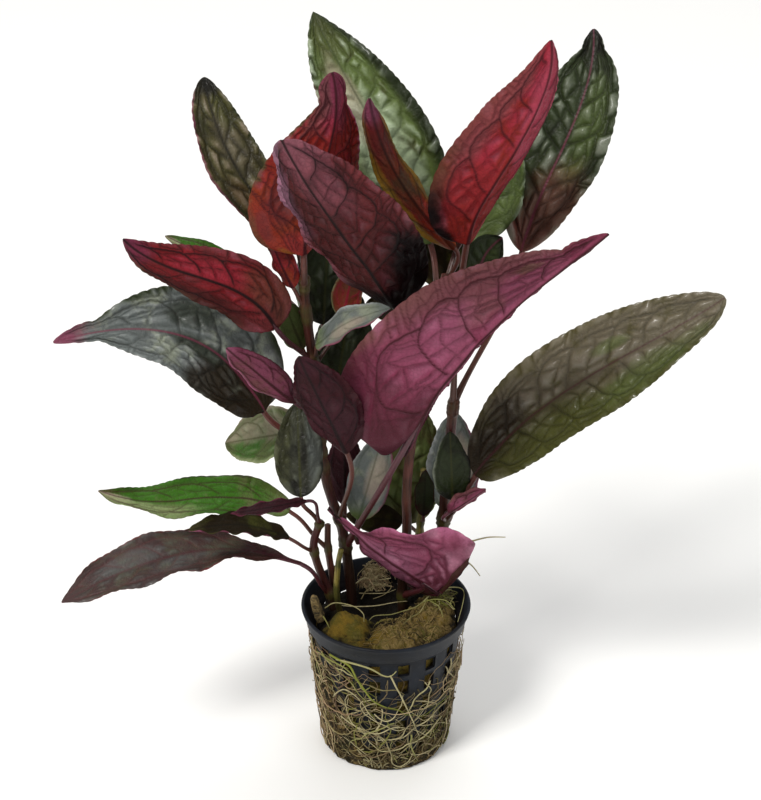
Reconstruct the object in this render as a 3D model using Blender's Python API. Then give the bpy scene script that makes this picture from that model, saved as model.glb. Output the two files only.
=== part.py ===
"""A red flame ivy growing from a lump of stone wool in a small net pot.

Lengths in the tables are millimetres and are scaled to metres when a mesh is made.
The origin is the centre of the pot's base on the surface it stands on, +Z is up and
the plant's front faces -Y.
"""
import math
from typing import NamedTuple

import bmesh
import bpy
import numpy as np

MM = 0.001
GAP = 0.3                 # clearance between neighbouring pieces

# Pot
POT_HEIGHT = 48.0
RIM_RADIUS = 25.0         # outside of the rim at the top
RIM_HEIGHT = 6.0
WALL_TOP_RADIUS = 22.2    # outside of the wall just under the rim band
WALL_BASE_RADIUS = 17.6
WALL = 1.0
FLOOR = 1.6
WINDOW_COLUMNS = 16       # windows round the pot
WINDOW_ANGLE = 9.0        # degrees taken by one window
FIRST_WINDOW = -76.5      # degrees from +X to the middle of the one right of the front
WINDOW_ROWS = ((36.4, 40.4), (29.5, 34.5), (21.5, 27.0), (13.5, 19.0), (5.5, 11.0))

# Stone wool
WOOL_FLOOR = FLOOR + GAP
WOOL_SHOULDER = 38.5
WOOL_RIM_LEVEL = 42.0
WOOL_LUMPS = (            # x, y, radius, rise above the rim level
    (-11.5, -5.0, 6.0, 5.0),
    (12.0, -2.0, 8.5, 3.0),
    (1.0, -13.0, 7.0, 3.0),
    (14.0, 8.0, 6.0, 1.5),
    (-2.0, 9.0, 9.0, -6.0),
    (-4.0, 20.0, 5.0, 2.0),
    (-20.0, -1.0, 4.0, -3.5),
)
WEDGE_PROFILE = (         # x, z of the pale wedge of wool that stands at the left of the rim
    (-20.0, 41.2), (-21.3, 43.6), (-22.2, 49.6), (-20.4, 50.0), (-18.8, 46.0), (-18.0, 41.8))
WEDGE_FRONT = -3.0
WEDGE_BACK = 1.0

# Roots round the pot: height of the mat at an angle round the pot, degrees from +X
ROOT_MAT_TOP = ((0, 37), (25, 36), (70, 28), (125, 33), (180, 40), (225, 39), (262, 33), (295, 24),
                (322, 27), (345, 36), (360, 37))
ROOT_MAT_THICKNESS = 1.3
ROOT_MAT_BOTTOM = 0.4

# Leaves
PETIOLE_RADIUS = 0.9
RIB_THICKNESS = 1.3
BLADE_THICKNESS = 0.7
BLADE_ROWS = (0.05, 0.14, 0.28, 0.44, 0.62, 0.8, 0.94, 1.0)
SMALL_BLADE_ROWS = (0.07, 0.3, 0.6, 0.88, 1.0)
SMALL_LEAF = 32.0         # blades shorter than this take fewer rows
PETIOLE_ROWS = (0.0, 0.5, 1.0)
PETIOLE_STEP = 0.1        # the stalk's foot moves out by this until it clears the stems


class Leaf(NamedTuple):
    """One leaf: its stalk runs from root to base, its blade from base to tip.

    face is the way the upper side looks. bow and sway push the midrib towards the
    upper side and towards the leaf's right at one and two thirds of its length.
    fold is the rise of the left and right halves out of flat and curl what is added
    to it at the margin. shape holds the two powers of the outline, lobe how far the
    margins reach back past the base, and halves the widths of the two halves. tail is
    where the blade ends and a drawn-out tip goes on, and that tip's share of the width.
    """
    name: str
    root: tuple
    base: tuple
    tip: tuple
    width: float
    face: tuple
    bow: tuple = (0.0, 0.0)
    sway: tuple = (0.0, 0.0)
    fold: tuple = (12.0, 12.0)
    curl: tuple = (0.0, 0.0)
    shape: tuple = (0.55, 0.75)
    lobe: float = 0.0
    halves: tuple = (1.0, 1.0)
    tail: tuple = (1.0, 0.0)
    color: str = "green"


LEAVES = (
    # crown
    Leaf("crown_back_leaf", (14, 9, 142), (12, 17.5, 154), (-20, 44, 211), 27, (0.1, -0.8, 0.5),
         bow=(8, 8), sway=(2, -3), shape=(0.55, 0.85), color="green"),
    Leaf("upper_left_green_leaf", (-22, 6, 149), (-26, 9, 159), (-49, 30, 197), 16, (0.3, -0.8, 0.45),
         bow=(4, 4), sway=(-6, -7), shape=(0.55, 0.65), color="green"),
    Leaf("crown_red_leaf", (-22, 0.7, 147), (-22, 2, 157.5), (-14, 4, 206), 32, (-0.45, 0.85, 0.1),
         bow=(-5, -5), sway=(6, -5), fold=(22, 25), color="red", shape=(0.4, 0.95), halves=(1.2, 1.0),
         tail=(0.94, 0.25)),
    Leaf("crown_maroon_leaf", (11, 1.6, 130), (2, -4, 145), (-25, -28, 199), 32, (0.1, 0.85, 0.45),
         bow=(-3, -3), sway=(-3, 1), fold=(22, 25), color="maroon", shape=(0.36, 0.62)),
    Leaf("crown_narrow_leaf", (17, 5, 147), (18, 4, 158), (-4.5, 8, 198), 14, (-0.3, 0.9, 0.1),
         sway=(4, 6), fold=(50, 50), color="red", shape=(0.5, 0.65)),
    Leaf("upper_right_red_leaf", (17.3, 4.3, 108), (21, -2, 162), (40, -6, 217), 30, (-0.3, 0.9, 0.2),
         bow=(-3, -3), sway=(6, -9), fold=(40, 14), color="red", shape=(0.4, 0.75), halves=(0.85, 1.0)),
    Leaf("upper_right_green_leaf", (19, 6, 110.5), (37, 14, 153), (56, 38, 208), 25, (-0.3, -0.8, 0.5),
         bow=(4, 4), sway=(-1, 9), shape=(0.62, 0.6), tail=(0.93, 0.24), color="dark_green"),
    Leaf("upper_back_pale_leaf", (16, 5.5, 147), (21, 11.5, 158), (34, 16, 183), 17, (-0.2, -0.9, 0.3),
         sway=(2, 2), color="green"),
    Leaf("left_pink_leaf", (-22.5, 4, 141), (-25, 3, 147), (-31, 5, 160), 8, (0.2, 0.8, 0.3),
         fold=(20, 20), color="red"),
    Leaf("right_curled_leaf", (14.5, 4, 142), (25, 3.5, 147), (31, 6.5, 160), 12, (0.1, -0.9, 0.4),
         sway=(-3, -3), color="dark_green"),
    # middle
    Leaf("front_purple_leaf", (-11, 9, 62), (9, -16, 117), (53, -37, 178.5), 49, (-0.1, 0.95, 0.35),
         bow=(2, 1), sway=(6, 4), color="purple", fold=(60, 34), shape=(0.1, 0.7), lobe=17,
         halves=(0.7, 1.0), tail=(0.88, 0.15)),
    Leaf("right_olive_leaf", (20.5, 9, 70), (26, 1, 91), (89, -8, 149), 28, (-0.5, -0.65, 0.55),
         bow=(7, 6), sway=(-7, 1), color="olive", shape=(0.45, 0.6), lobe=1),
    Leaf("left_red_leaf", (-22, 2, 126), (-30.5, -3, 139.5), (-67, -14, 168), 19, (-0.3, 0.95, 0.1),
         bow=(1, 1), sway=(-8, 5), fold=(20, 20), color="red", shape=(0.22, 0.75), lobe=2),
    Leaf("left_silver_leaf", (-21, 6, 96), (-35, 6, 109), (-90, -2, 133), 28, (0.25, -0.65, 0.7),
         bow=(12, 9), sway=(15, 12), color="silver", shape=(0.42, 0.85), lobe=1, halves=(1.0, 1.15),
         tail=(0.88, 0.2)),
    Leaf("low_back_green_leaf", (-17.8, 8.6, 91.5), (-25, 22, 93), (-49, 38, 80), 18, (0.1, -0.7, 0.7),
         color="bright_green"),
    Leaf("left_back_green_leaf", (-22.5, 7, 139), (-34, 15, 143), (-61, 20, 155), 9, (0.2, -0.5, 0.8),
         color="bright_green"),
    Leaf("left_small_purple_leaf", (-19, 3.5, 109), (-25, -7, 117.5), (-41, -24, 142), 10, (-0.2, 0.95, 0.2),
         fold=(20, 20), color="purple"),
    Leaf("centre_purple_leaf", (-12.5, 7, 72), (-11, -8.5, 103), (-23, -16.5, 136), 19, (0.1, 0.95, 0.3),
         bow=(-2, -2), sway=(-1, -1), fold=(25, 25), color="dark_purple"),
    Leaf("centre_silver_leaf", (-18.5, 2, 127), (-19, 2, 130), (1, -8, 146), 10, (-0.1, -0.5, 0.85),
         bow=(3, 3), color="silver"),
    Leaf("left_olive_leaf", (-20.2, 5, 123), (-23, 4.8, 128), (-28, 4.8, 142.5), 9, (0.2, -0.7, 0.6),
         color="olive"),
    Leaf("centre_orange_leaf", (-20, 5, 123), (-12, 10, 135), (-9, 15, 148), 9, (0.0, 0.9, 0.3),
         color="red"),
    Leaf("centre_dark_leaf", (-20.2, 5, 127), (-17.5, 14, 131), (-16, 25, 156), 18, (0.1, -0.9, 0.3),
         color="dark_green"),
    Leaf("centre_moss_leaf", (13, 4, 134), (4, 8, 139), (-6.5, 7.5, 138.5), 8, (0.0, -0.6, 0.8),
         bow=(1, 1), color="olive"),
    Leaf("upper_centre_olive_leaf", (13.5, 4, 137), (15.5, 18, 140), (17.5, 26, 161), 18, (0.0, -0.9, 0.4),
         color="olive"),
    Leaf("middle_back_leaf", (-17.8, 7, 101), (-14, 13, 111), (-9.5, 20, 140), 17, (0.0, -0.9, 0.3),
         color="dark_green"),
    # low
    Leaf("hanging_green_leaf", (-21, 0, 78), (-24, -4, 86), (-25, 6, 111), 14, (0.0, -0.9, 0.35),
         bow=(1, 1), color="dark_green"),
    Leaf("low_left_dark_leaf", (-19, 0, 77), (-22.5, -6.5, 86), (-43, -15, 87), 5, (0.0, -0.2, 0.95),
         color="maroon"),
    Leaf("low_left_green_leaf", (-20, 8, 62), (-28, 6, 75), (-81, -4, 88), 14, (0.15, -0.45, 0.85),
         sway=(9, -7), color="bright_green", shape=(0.4, 0.75)),
    Leaf("low_left_olive_leaf", (-22, 2, 63), (-28, -2, 71), (-55, -14, 81), 9, (0.2, -0.2, 0.95),
         bow=(2, 2), sway=(3, 3), color="olive"),
    Leaf("low_left_bronze_leaf", (-18, 4, 47), (-25, 0, 61), (-91, -20, 61), 17.5, (0.1, -0.3, 0.95),
         bow=(9, 6), sway=(10, 6), color="bronze", shape=(1.4, 0.9)),
    Leaf("low_front_purple_leaf", (8.5, 4, 46), (10, -1, 56), (-16, -12, 87), 42, (-0.1, 0.93, 0.3),
         bow=(2, 0), sway=(2, 2), color="purple", fold=(8, 35), shape=(0.3, 2.7), lobe=8,
         halves=(1.0, 0.35)),
    Leaf("small_rolled_leaf", (18, 8, 70), (18, -1, 79), (28, -3, 88), 8, (0.0, 0.7, 0.6),
         fold=(20, 20), color="purple"),
    Leaf("right_hanging_leaf", (18, 8, 72), (19, 3, 81), (18, 5, 102), 11, (0.0, -0.9, 0.4),
         bow=(2, 2), color="dark_green"),
    Leaf("right_back_pale_leaf", (16.8, 10.5, 66), (19.5, 16, 69), (20, 23, 99), 16, (0.0, -0.85, 0.5),
         color="green"),
    Leaf("centre_pale_leaf", (-10, 11, 62), (-8, 10, 70), (-0.5, 13.5, 98), 13, (-0.1, -0.9, 0.3),
         color="silver"),
    Leaf("centre_back_olive_leaf", (10, 16, 56), (6, 24, 60), (8.5, 29, 101), 21, (-0.1, -0.9, 0.3),
         bow=(2, 2), color="olive"),
    Leaf("centre_back_dark_leaf", (12, 14, 66), (11, 10.5, 71), (11.5, 11, 86), 6, (0.0, -0.9, 0.3),
         color="dark_purple"),
    Leaf("low_centre_dark_leaf", (8.5, 16.3, 62), (5, 18.5, 64), (-12, 19, 66), 9, (0.0, -0.9, 0.4),
         color="dark_green"),
    Leaf("centre_maroon_leaf", (-12.5, 9.4, 64), (-12, 13, 73), (-12, 18, 97), 11, (0.1, 0.9, 0.3),
         color="dark_purple"),
)


class Stem(NamedTuple):
    """A round stem through its points, with a swollen node at some of them."""
    name: str
    path: tuple
    radius: float
    color: str = "stem"


STEMS = (
    Stem("left_stem", ((-15, 5, 38), (-16.5, 5, 47), (-20, 4, 58), (-21, 3, 66), (-19, 2, 74)), 1.3),
    Stem("main_stem", ((-10, 11, 36), (-11, 10, 52), (-13, 9, 68), (-17, 7, 84), (-19, 5, 104),
                       (-20, 4, 122), (-22, 4, 142), (-22, 4, 150)), 1.5),
    Stem("pale_stem", ((-13, 2, 39), (-14.5, 1, 50), (-14, 0, 60), (-13, 0, 66)), 0.9, "pale_stem"),
    Stem("red_stem", ((-14, 9, 38), (-16, 8, 52), (-17, 7, 62), (-17, 7, 70)), 1.1, "red_stem"),
    Stem("centre_stem", ((5, 8, 36), (5, 7, 52), (6, 5, 68), (6, 4, 86), (8, 3, 106), (11, 3, 124),
                         (14, 4, 140), (16, 5, 150)), 1.4, "red_stem"),
    Stem("right_stem", ((13, 10, 37), (16, 11, 54), (17, 10, 74), (18, 9, 92), (18.5, 7, 104),
                        (19, 6, 112)), 1.6),
    Stem("back_stem", ((8, 15, 35), (10, 16, 60), (11, 15, 84)), 1.1, "pale_stem"),
)
STEM_SIDES = 8


class Tuft(NamedTuple):
    """A rounded tuft of matted roots: middle, half widths along X and Y, bottom and top"""
    name: str
    middle: tuple
    half: tuple
    bottom: float
    top: float


TUFTS = (
    Tuft("root_tuft_back", (-3.0, 16.0), (5.4, 3.4), 42.5, 51.0),
    Tuft("root_tuft_right", (17.6, 3.5), (4.2, 4.6), 45.7, 48.6),
)
TUFT_SIDES = 12
TUFT_RINGS = ((0.0, 0.82), (0.2, 1.0), (0.6, 0.86), (0.88, 0.55), (1.0, 0.2))  # rise, width

AIR_ROOT_RADIUS = 0.35
AIR_ROOTS = (             # thin roots that leave the right stem in the open
    ("air_root_upper", ((19.5, 10.2, 61), (25, 9, 63), (30, 8, 65), (35, 7, 65.7))),
    ("air_root_lower", ((18.9, 10.6, 56), (23, 9.5, 56), (25.5, 8.7, 54.7), (28, 8, 51.5))),
)
AIR_ROOT_SIDES = 6

COLORS = {                # base colour, roughness
    "pot": ((0.030, 0.034, 0.045), 0.5),
    "wool": ((0.150, 0.105, 0.025), 0.95),
    "wedge": ((0.420, 0.340, 0.190), 0.9),
    "roots": ((0.240, 0.170, 0.060), 0.8),
    "stem": ((0.070, 0.022, 0.015), 0.45),
    "red_stem": ((0.180, 0.035, 0.030), 0.45),
    "pale_stem": ((0.240, 0.220, 0.050), 0.5),
    "green": ((0.075, 0.120, 0.040), 0.4),
    "dark_green": ((0.030, 0.050, 0.024), 0.35),
    "bright_green": ((0.080, 0.180, 0.025), 0.4),
    "olive": ((0.055, 0.050, 0.020), 0.4),
    "silver": ((0.100, 0.120, 0.105), 0.35),
    "bronze": ((0.070, 0.045, 0.040), 0.4),
    "red": ((0.230, 0.020, 0.025), 0.45),
    "maroon": ((0.080, 0.020, 0.025), 0.45),
    "purple": ((0.160, 0.035, 0.080), 0.45),
    "dark_purple": ((0.055, 0.015, 0.028), 0.45),
}


def material(kind):
    """The plain finish of one kind of piece, made on its first use"""
    found = bpy.data.materials.get(kind)
    if found:
        return found
    color, roughness = COLORS[kind]
    finish = bpy.data.materials.new(kind)
    finish.use_nodes = True
    shader = finish.node_tree.nodes["Principled BSDF"]
    shader.inputs["Base Color"].default_value = (*color, 1.0)
    shader.inputs["Roughness"].default_value = roughness
    shader.inputs["Metallic"].default_value = 0.0
    finish.diffuse_color = (*color, 1.0)
    return finish


def add_object(name, vertices, faces, kind, smooth=True):
    """Put a closed mesh, given in millimetres, into the scene as one named piece"""
    mesh = bpy.data.meshes.new(name)
    mesh.from_pydata((np.asarray(vertices) * MM).tolist(), [], faces)
    body = bmesh.new()
    body.from_mesh(mesh)
    bmesh.ops.recalc_face_normals(body, faces=body.faces)
    body.to_mesh(mesh)
    body.free()
    mesh.shade_smooth() if smooth else mesh.shade_flat()
    piece = bpy.data.objects.new(name, mesh)
    piece.data.materials.append(material(kind))
    bpy.context.scene.collection.objects.link(piece)
    return piece


def loft_faces(rows, sides, closed_loop=False):
    """Quads between neighbouring rings, with a cap at each end unless the rows form a loop"""
    faces = []
    spans = rows if closed_loop else rows - 1
    for row in range(spans):
        here = row * sides
        there = ((row + 1) % rows) * sides
        for side in range(sides):
            after = (side + 1) % sides
            faces.append((here + side, here + after, there + after, there + side))
    if not closed_loop:
        faces.append(tuple(range(sides)))
        faces.append(tuple(range((rows - 1) * sides, rows * sides)))
    return faces


def unit(vectors):
    """Vectors scaled to length one"""
    vectors = np.asarray(vectors, float)
    return vectors / np.linalg.norm(vectors, axis=-1, keepdims=True)


def bezier(points, at):
    """Points and directions on a cubic curve at the given parameters"""
    p0, p1, p2, p3 = (np.asarray(point, float) for point in points)
    t = np.asarray(at, float)[:, None]
    place = (1 - t)**3 * p0 + 3 * (1 - t)**2 * t * p1 + 3 * (1 - t) * t**2 * p2 + t**3 * p3
    slope = 3 * (1 - t)**2 * (p1 - p0) + 6 * (1 - t) * t * (p2 - p1) + 3 * t**2 * (p3 - p2)
    return place, unit(slope)


def blade_frame(leaf, at):
    """Midrib points with the along, right and up directions of a blade"""
    base, tip = np.array(leaf.base, float), np.array(leaf.tip, float)
    chord = tip - base
    along = chord / np.linalg.norm(chord)
    face = np.array(leaf.face, float)
    up = unit(face - face.dot(along) * along)
    right = np.cross(along, up)
    first = base + chord / 3 + up * leaf.bow[0] + right * leaf.sway[0]
    second = tip - chord / 3 + up * leaf.bow[1] + right * leaf.sway[1]
    rib, tangent = bezier((base, first, second, tip), at)
    flat_up = unit(up - (tangent @ up)[:, None] * tangent)
    flat_right = np.cross(tangent, flat_up)
    return rib, tangent, (flat_right, flat_up)


def half_width(leaf, at):
    """Half the blade's width: a power of the way from the base times one of the way to the tip

    A drawn-out tip is a straight taper that takes over where it is the wider of the two.
    """
    p, q = leaf.shape
    end, share = leaf.tail
    peak = p / (p + q)
    at = np.asarray(at)
    along = np.minimum(at / end, 1.0)
    blade = (along / peak)**p * ((1 - along) / (1 - peak))**q
    tail = share * np.clip((1 - at) / (1.001 - end), 0.0, 1.0)**0.6 * (at > peak * end)
    return 0.5 * leaf.width * np.maximum(blade, tail)


def blade_rings(leaf, at):
    """Flat lens-shaped rings of eight points across the blade, from left margin to right and back"""
    rib, tangent, (right, up) = blade_frame(leaf, at)
    at = np.asarray(at)
    half = half_width(leaf, at)[:, None]
    across = np.array((-1.0, -0.55, 0.0, 0.55, 1.0, 0.55, 0.0, -0.55))
    thick = np.array((0, 0.5 * BLADE_THICKNESS, 0.5 * RIB_THICKNESS, 0.5 * BLADE_THICKNESS,
                      0, -0.5 * BLADE_THICKNESS, -0.5 * RIB_THICKNESS, -0.5 * BLADE_THICKNESS))
    reach = np.abs(across)
    fold = np.radians(np.where(across < 0, leaf.fold[0], leaf.fold[1]))
    curl = np.radians(np.where(across < 0, leaf.curl[0], leaf.curl[1]))
    mean_angle = fold + 0.5 * curl * reach
    half = half * np.where(across < 0, leaf.halves[0], leaf.halves[1])
    side = half * across * np.cos(mean_angle)
    rise = half * reach * np.sin(mean_angle)
    thin = np.clip(0.25 + half / 4.0, 0.0, 1.0)
    back = -leaf.lobe * np.sin(0.75 * np.pi * reach**0.7) * np.clip(1 - at * 2.5, 0, 1)[:, None]
    place = rib[:, None] + right[:, None] * side[..., None] + up[:, None] * rise[..., None]
    return place + up[:, None] * (thin * thick)[..., None] + tangent[:, None] * back[..., None]


def stem_gap(place, outward, radius):
    """Room between a round end of the given radius and direction, and the nearest stem"""
    room = math.inf
    for stem in STEMS:
        path = np.array(stem.path, float)
        width = np.linspace(stem.radius, 0.8 * stem.radius, len(path))
        for a, b, thick in zip(path[:-1], path[1:], width[:-1]):
            share = np.clip((place - a).dot(b - a) / (b - a).dot(b - a), 0.0, 1.0)
            away = place - a - share * (b - a)
            distance = np.linalg.norm(away)
            slant = math.sqrt(max(0.0, 1.0 - (away.dot(outward) / max(distance, 1e-6))**2))
            room = min(room, distance - thick - radius * slant)
    return room


def petiole_rings(leaf):
    """Round rings of eight points from beside the stem to the foot of the blade"""
    rib, tangent, (right, up) = blade_frame(leaf, (0.0,))
    root, base = np.array(leaf.root, float), np.array(leaf.base, float)
    radius = PETIOLE_RADIUS * min(1.0, 0.45 + leaf.width / 60)
    outward = unit(base - root)
    while stem_gap(root, outward, radius) < GAP:
        root = root + outward * PETIOLE_STEP
    length = np.linalg.norm(base - root)
    pull = 0.4 * length
    path, slope = bezier((root, root + outward * pull, base - tangent[0] * pull, base), PETIOLE_ROWS)
    flat_up = unit(up[0] - (slope @ up[0])[:, None] * slope)
    flat_right = np.cross(slope, flat_up)
    angle = np.radians((180, 135, 90, 45, 0, -45, -90, -135))
    ring = flat_right[:, None] * np.cos(angle)[:, None] + flat_up[:, None] * np.sin(angle)[:, None]
    return path[:, None] + radius * ring


def build_leaf(leaf):
    """Leaf stalk and blade as one closed lofted body that ends in a fine tip"""
    rows = BLADE_ROWS if math.dist(leaf.base, leaf.tip) > SMALL_LEAF else SMALL_BLADE_ROWS
    at = np.minimum(rows, 0.988)
    rings = np.concatenate((petiole_rings(leaf), blade_rings(leaf, at)))
    return add_object(leaf.name, rings.reshape(-1, 3), loft_faces(len(rings), 8), leaf.color)


def tube_rings(path, radius, sides):
    """Round rings along a bent path, each square to the way the path runs"""
    points = np.array(path, float)
    slope = unit(np.gradient(points, axis=0))
    first = unit(np.cross(slope, (0.0, 1.0, 0.0)))
    second = np.cross(slope, first)
    angle = np.arange(sides) * 2 * math.pi / sides
    ring = first[:, None] * np.cos(angle)[:, None] + second[:, None] * np.sin(angle)[:, None]
    return points[:, None] + np.broadcast_to(radius, len(points))[:, None, None] * ring


def build_stem(stem):
    """A stem, a little thinner at its top than at its foot"""
    radius = np.linspace(stem.radius, 0.8 * stem.radius, len(stem.path))
    rings = tube_rings(stem.path, radius, STEM_SIDES)
    return add_object(stem.name, rings.reshape(-1, 3), loft_faces(len(rings), STEM_SIDES), stem.color)


def wall_radius(height):
    """Outside radius of the tapered pot wall at a height"""
    return WALL_BASE_RADIUS + (WALL_TOP_RADIUS - WALL_BASE_RADIUS) * height / (POT_HEIGHT - RIM_HEIGHT)


def window_angles():
    """Directions of the window sides round the pot, two for each column of windows"""
    middle = FIRST_WINDOW + np.arange(WINDOW_COLUMNS) * 360 / WINDOW_COLUMNS
    return np.radians(np.stack((middle - WINDOW_ANGLE / 2, middle + WINDOW_ANGLE / 2), -1).ravel())


def circle(radius, height, angle):
    """Points of one level ring at the given directions"""
    return np.stack((radius * np.cos(angle), radius * np.sin(angle), np.full(len(angle), height)), -1)


def build_pot():
    """Tapered cup with a rim band, rows of square windows and a closed floor"""
    band = POT_HEIGHT - RIM_HEIGHT
    levels = [FLOOR] + [height for row in WINDOW_ROWS[::-1] for height in row] + [band]
    outer = [(0.0, WALL_BASE_RADIUS)] + [(z, wall_radius(z)) for z in levels]
    outer += [(band, WALL_TOP_RADIUS + 1.2), (POT_HEIGHT, RIM_RADIUS)]
    inner = [(z, wall_radius(z) - WALL) for z in levels]
    inner += [(band + 1.0, WALL_TOP_RADIUS + 0.1), (POT_HEIGHT, RIM_RADIUS - WALL)]
    angles = window_angles()
    columns = len(angles)
    rings = np.concatenate([circle(r, z, angles) for z, r in outer + inner])
    floor_row = len(outer)
    faces = []

    def ring_faces(low, high, open_row=False):
        for column in range(columns):
            after = (column + 1) % columns
            if open_row and column % 2 == 0:
                continue
            faces.append((low * columns + column, low * columns + after,
                          high * columns + after, high * columns + column))

    def is_window(level):
        return 0 < level < len(levels) - 1 and level % 2 == 1

    for row in range(len(outer) - 1):
        ring_faces(row, row + 1, is_window(row - 1))
    for row in range(len(inner) - 1):
        ring_faces(floor_row + row, floor_row + row + 1, is_window(row))
    ring_faces(len(outer) - 1, len(outer) + len(inner) - 1)
    for level in range(len(levels)):
        if not is_window(level):
            continue
        for column in range(0, columns, 2):
            after = (column + 1) % columns
            corners = ((level, column), (level, after), (level + 1, after), (level + 1, column))
            for (z0, c0), (z1, c1) in zip(corners, corners[1:] + corners[:1]):
                faces.append(((z0 + 1) * columns + c0, (z1 + 1) * columns + c1,
                              (floor_row + z1) * columns + c1, (floor_row + z0) * columns + c0))
    faces.append(tuple(range(columns)))
    faces.append(tuple(floor_row * columns + column for column in range(columns)))
    return add_object("pot", rings, faces, "pot", smooth=False)


def wool_height(x, y):
    """Top of the wool: the rim level with a rounded rise or hollow at each lump"""
    height = np.full(np.shape(x), WOOL_RIM_LEVEL)
    for lump_x, lump_y, radius, rise in WOOL_LUMPS:
        height = height + rise * np.exp(-((x - lump_x)**2 + (y - lump_y)**2) / radius**2)
    return height


def build_wool():
    """Plug of stone wool that fills the pot, with a lumpy top and a hole round each stem"""
    side_levels = (WOOL_FLOOR, 24.0, WOOL_SHOULDER)
    angles = window_angles()
    rings = []
    for height in side_levels:
        radius = wall_radius(height) - WALL - GAP
        rings.append(circle(radius, height, angles))
    for share in (0.93, 0.8, 0.62, 0.42, 0.2):
        ring = circle(share * (wall_radius(WOOL_SHOULDER) - WALL - GAP), 0.0, angles)
        ring[:, 2] = wool_height(ring[:, 0], ring[:, 1])
        rings.append(ring)
    points = np.concatenate(rings)
    wool = add_object("wool_plug", points, loft_faces(len(rings), len(angles)), "wool")
    for index, stem in enumerate(STEMS):
        cut_hole(wool, stem, index)
    return wool


def cut_hole(wool, stem, index):
    """Cut the room of one stem's foot out of the wool"""
    path = np.array(stem.path, float)
    foot = path[0] - unit(path[1] - path[0]) * GAP
    reach = path[0] + (path[1] - path[0]) * 1.2
    rings = tube_rings((foot, reach), stem.radius + 1.4 * GAP, STEM_SIDES)
    cutter = add_object(f"cutter_{index}", rings.reshape(-1, 3), loft_faces(2, STEM_SIDES), "wool")
    cutter.hide_render = True
    cutter.display_type = "WIRE"
    cut = wool.modifiers.new(cutter.name, "BOOLEAN")
    cut.operation = "DIFFERENCE"
    cut.solver = "EXACT"
    cut.object = cutter


def build_wedge():
    """Pale wedge of wool standing between the wool plug and the left of the rim"""
    profile = np.array(WEDGE_PROFILE)
    rings = [np.insert(profile, 1, depth, axis=1) for depth in (WEDGE_FRONT, WEDGE_BACK)]
    return add_object("wool_wedge", np.concatenate(rings), loft_faces(2, len(profile)), "wedge", False)


def build_tuft(tuft):
    """Rounded tuft of roots with an uneven edge, lying on the wool"""
    angle = np.arange(TUFT_SIDES) * 2 * math.pi / TUFT_SIDES
    uneven = 1.0 + 0.08 * np.sin(3 * angle + 1.0) + 0.05 * np.cos(5 * angle)
    rings = []
    for rise, width in TUFT_RINGS:
        height = tuft.bottom + rise * (tuft.top - tuft.bottom)
        rings.append(np.stack((tuft.middle[0] + tuft.half[0] * width * uneven * np.cos(angle),
                               tuft.middle[1] + tuft.half[1] * width * uneven * np.sin(angle),
                               np.full(TUFT_SIDES, height)), -1))
    return add_object(tuft.name, np.concatenate(rings), loft_faces(len(rings), TUFT_SIDES), "roots")


def build_air_root(name, path):
    """Thin root in the open that narrows to its tip"""
    radius = np.linspace(AIR_ROOT_RADIUS, 0.5 * AIR_ROOT_RADIUS, len(path))
    rings = tube_rings(path, radius, AIR_ROOT_SIDES)
    return add_object(name, rings.reshape(-1, 3), loft_faces(len(rings), AIR_ROOT_SIDES), "roots")


def build_root_mat():
    """Skin of matted roots round the outside of the pot, higher at its left than at its front"""
    angle = np.degrees(window_angles())
    top = np.interp(angle % 360, *zip(*ROOT_MAT_TOP))
    lumps = 0.35 * np.sin(np.radians(angle * 5)) + 0.25 * np.cos(np.radians(angle * 7 + 40))
    rings = []
    for column in range(len(angle)):
        height = np.array((ROOT_MAT_BOTTOM, 0.5 * top[column], top[column],
                           top[column] - 1.0, 0.6 * top[column], 0.25 * top[column]))
        away = np.array((GAP, GAP, GAP, GAP + 0.5 * ROOT_MAT_THICKNESS,
                         GAP + ROOT_MAT_THICKNESS + 0.5 * lumps[column],
                         GAP + ROOT_MAT_THICKNESS + lumps[column]))
        radius = wall_radius(height) + away
        turn = math.radians(angle[column])
        rings.append(np.stack((radius * math.cos(turn), radius * math.sin(turn), height), -1))
    rings = np.concatenate(rings)
    return add_object("root_mat", rings, loft_faces(len(angle), 6, closed_loop=True), "roots")


def main():
    """Clear the file and build every piece"""
    for item in list(bpy.data.objects):
        bpy.data.objects.remove(item)
    build_pot()
    build_wool()
    build_wedge()
    build_root_mat()
    for tuft in TUFTS:
        build_tuft(tuft)
    for name, path in AIR_ROOTS:
        build_air_root(name, path)
    for stem in STEMS:
        build_stem(stem)
    for leaf in LEAVES:
        build_leaf(leaf)


main()
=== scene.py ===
"""A red flame ivy in its net pot, dressed with fine leaves, stems, stone wool and roots.

Lengths in the tables are millimetres and are scaled to metres when a mesh is made.
The origin is the centre of the pot's base, +Z is up and the plant's front faces -Y.
"""
import math
from typing import NamedTuple

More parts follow.
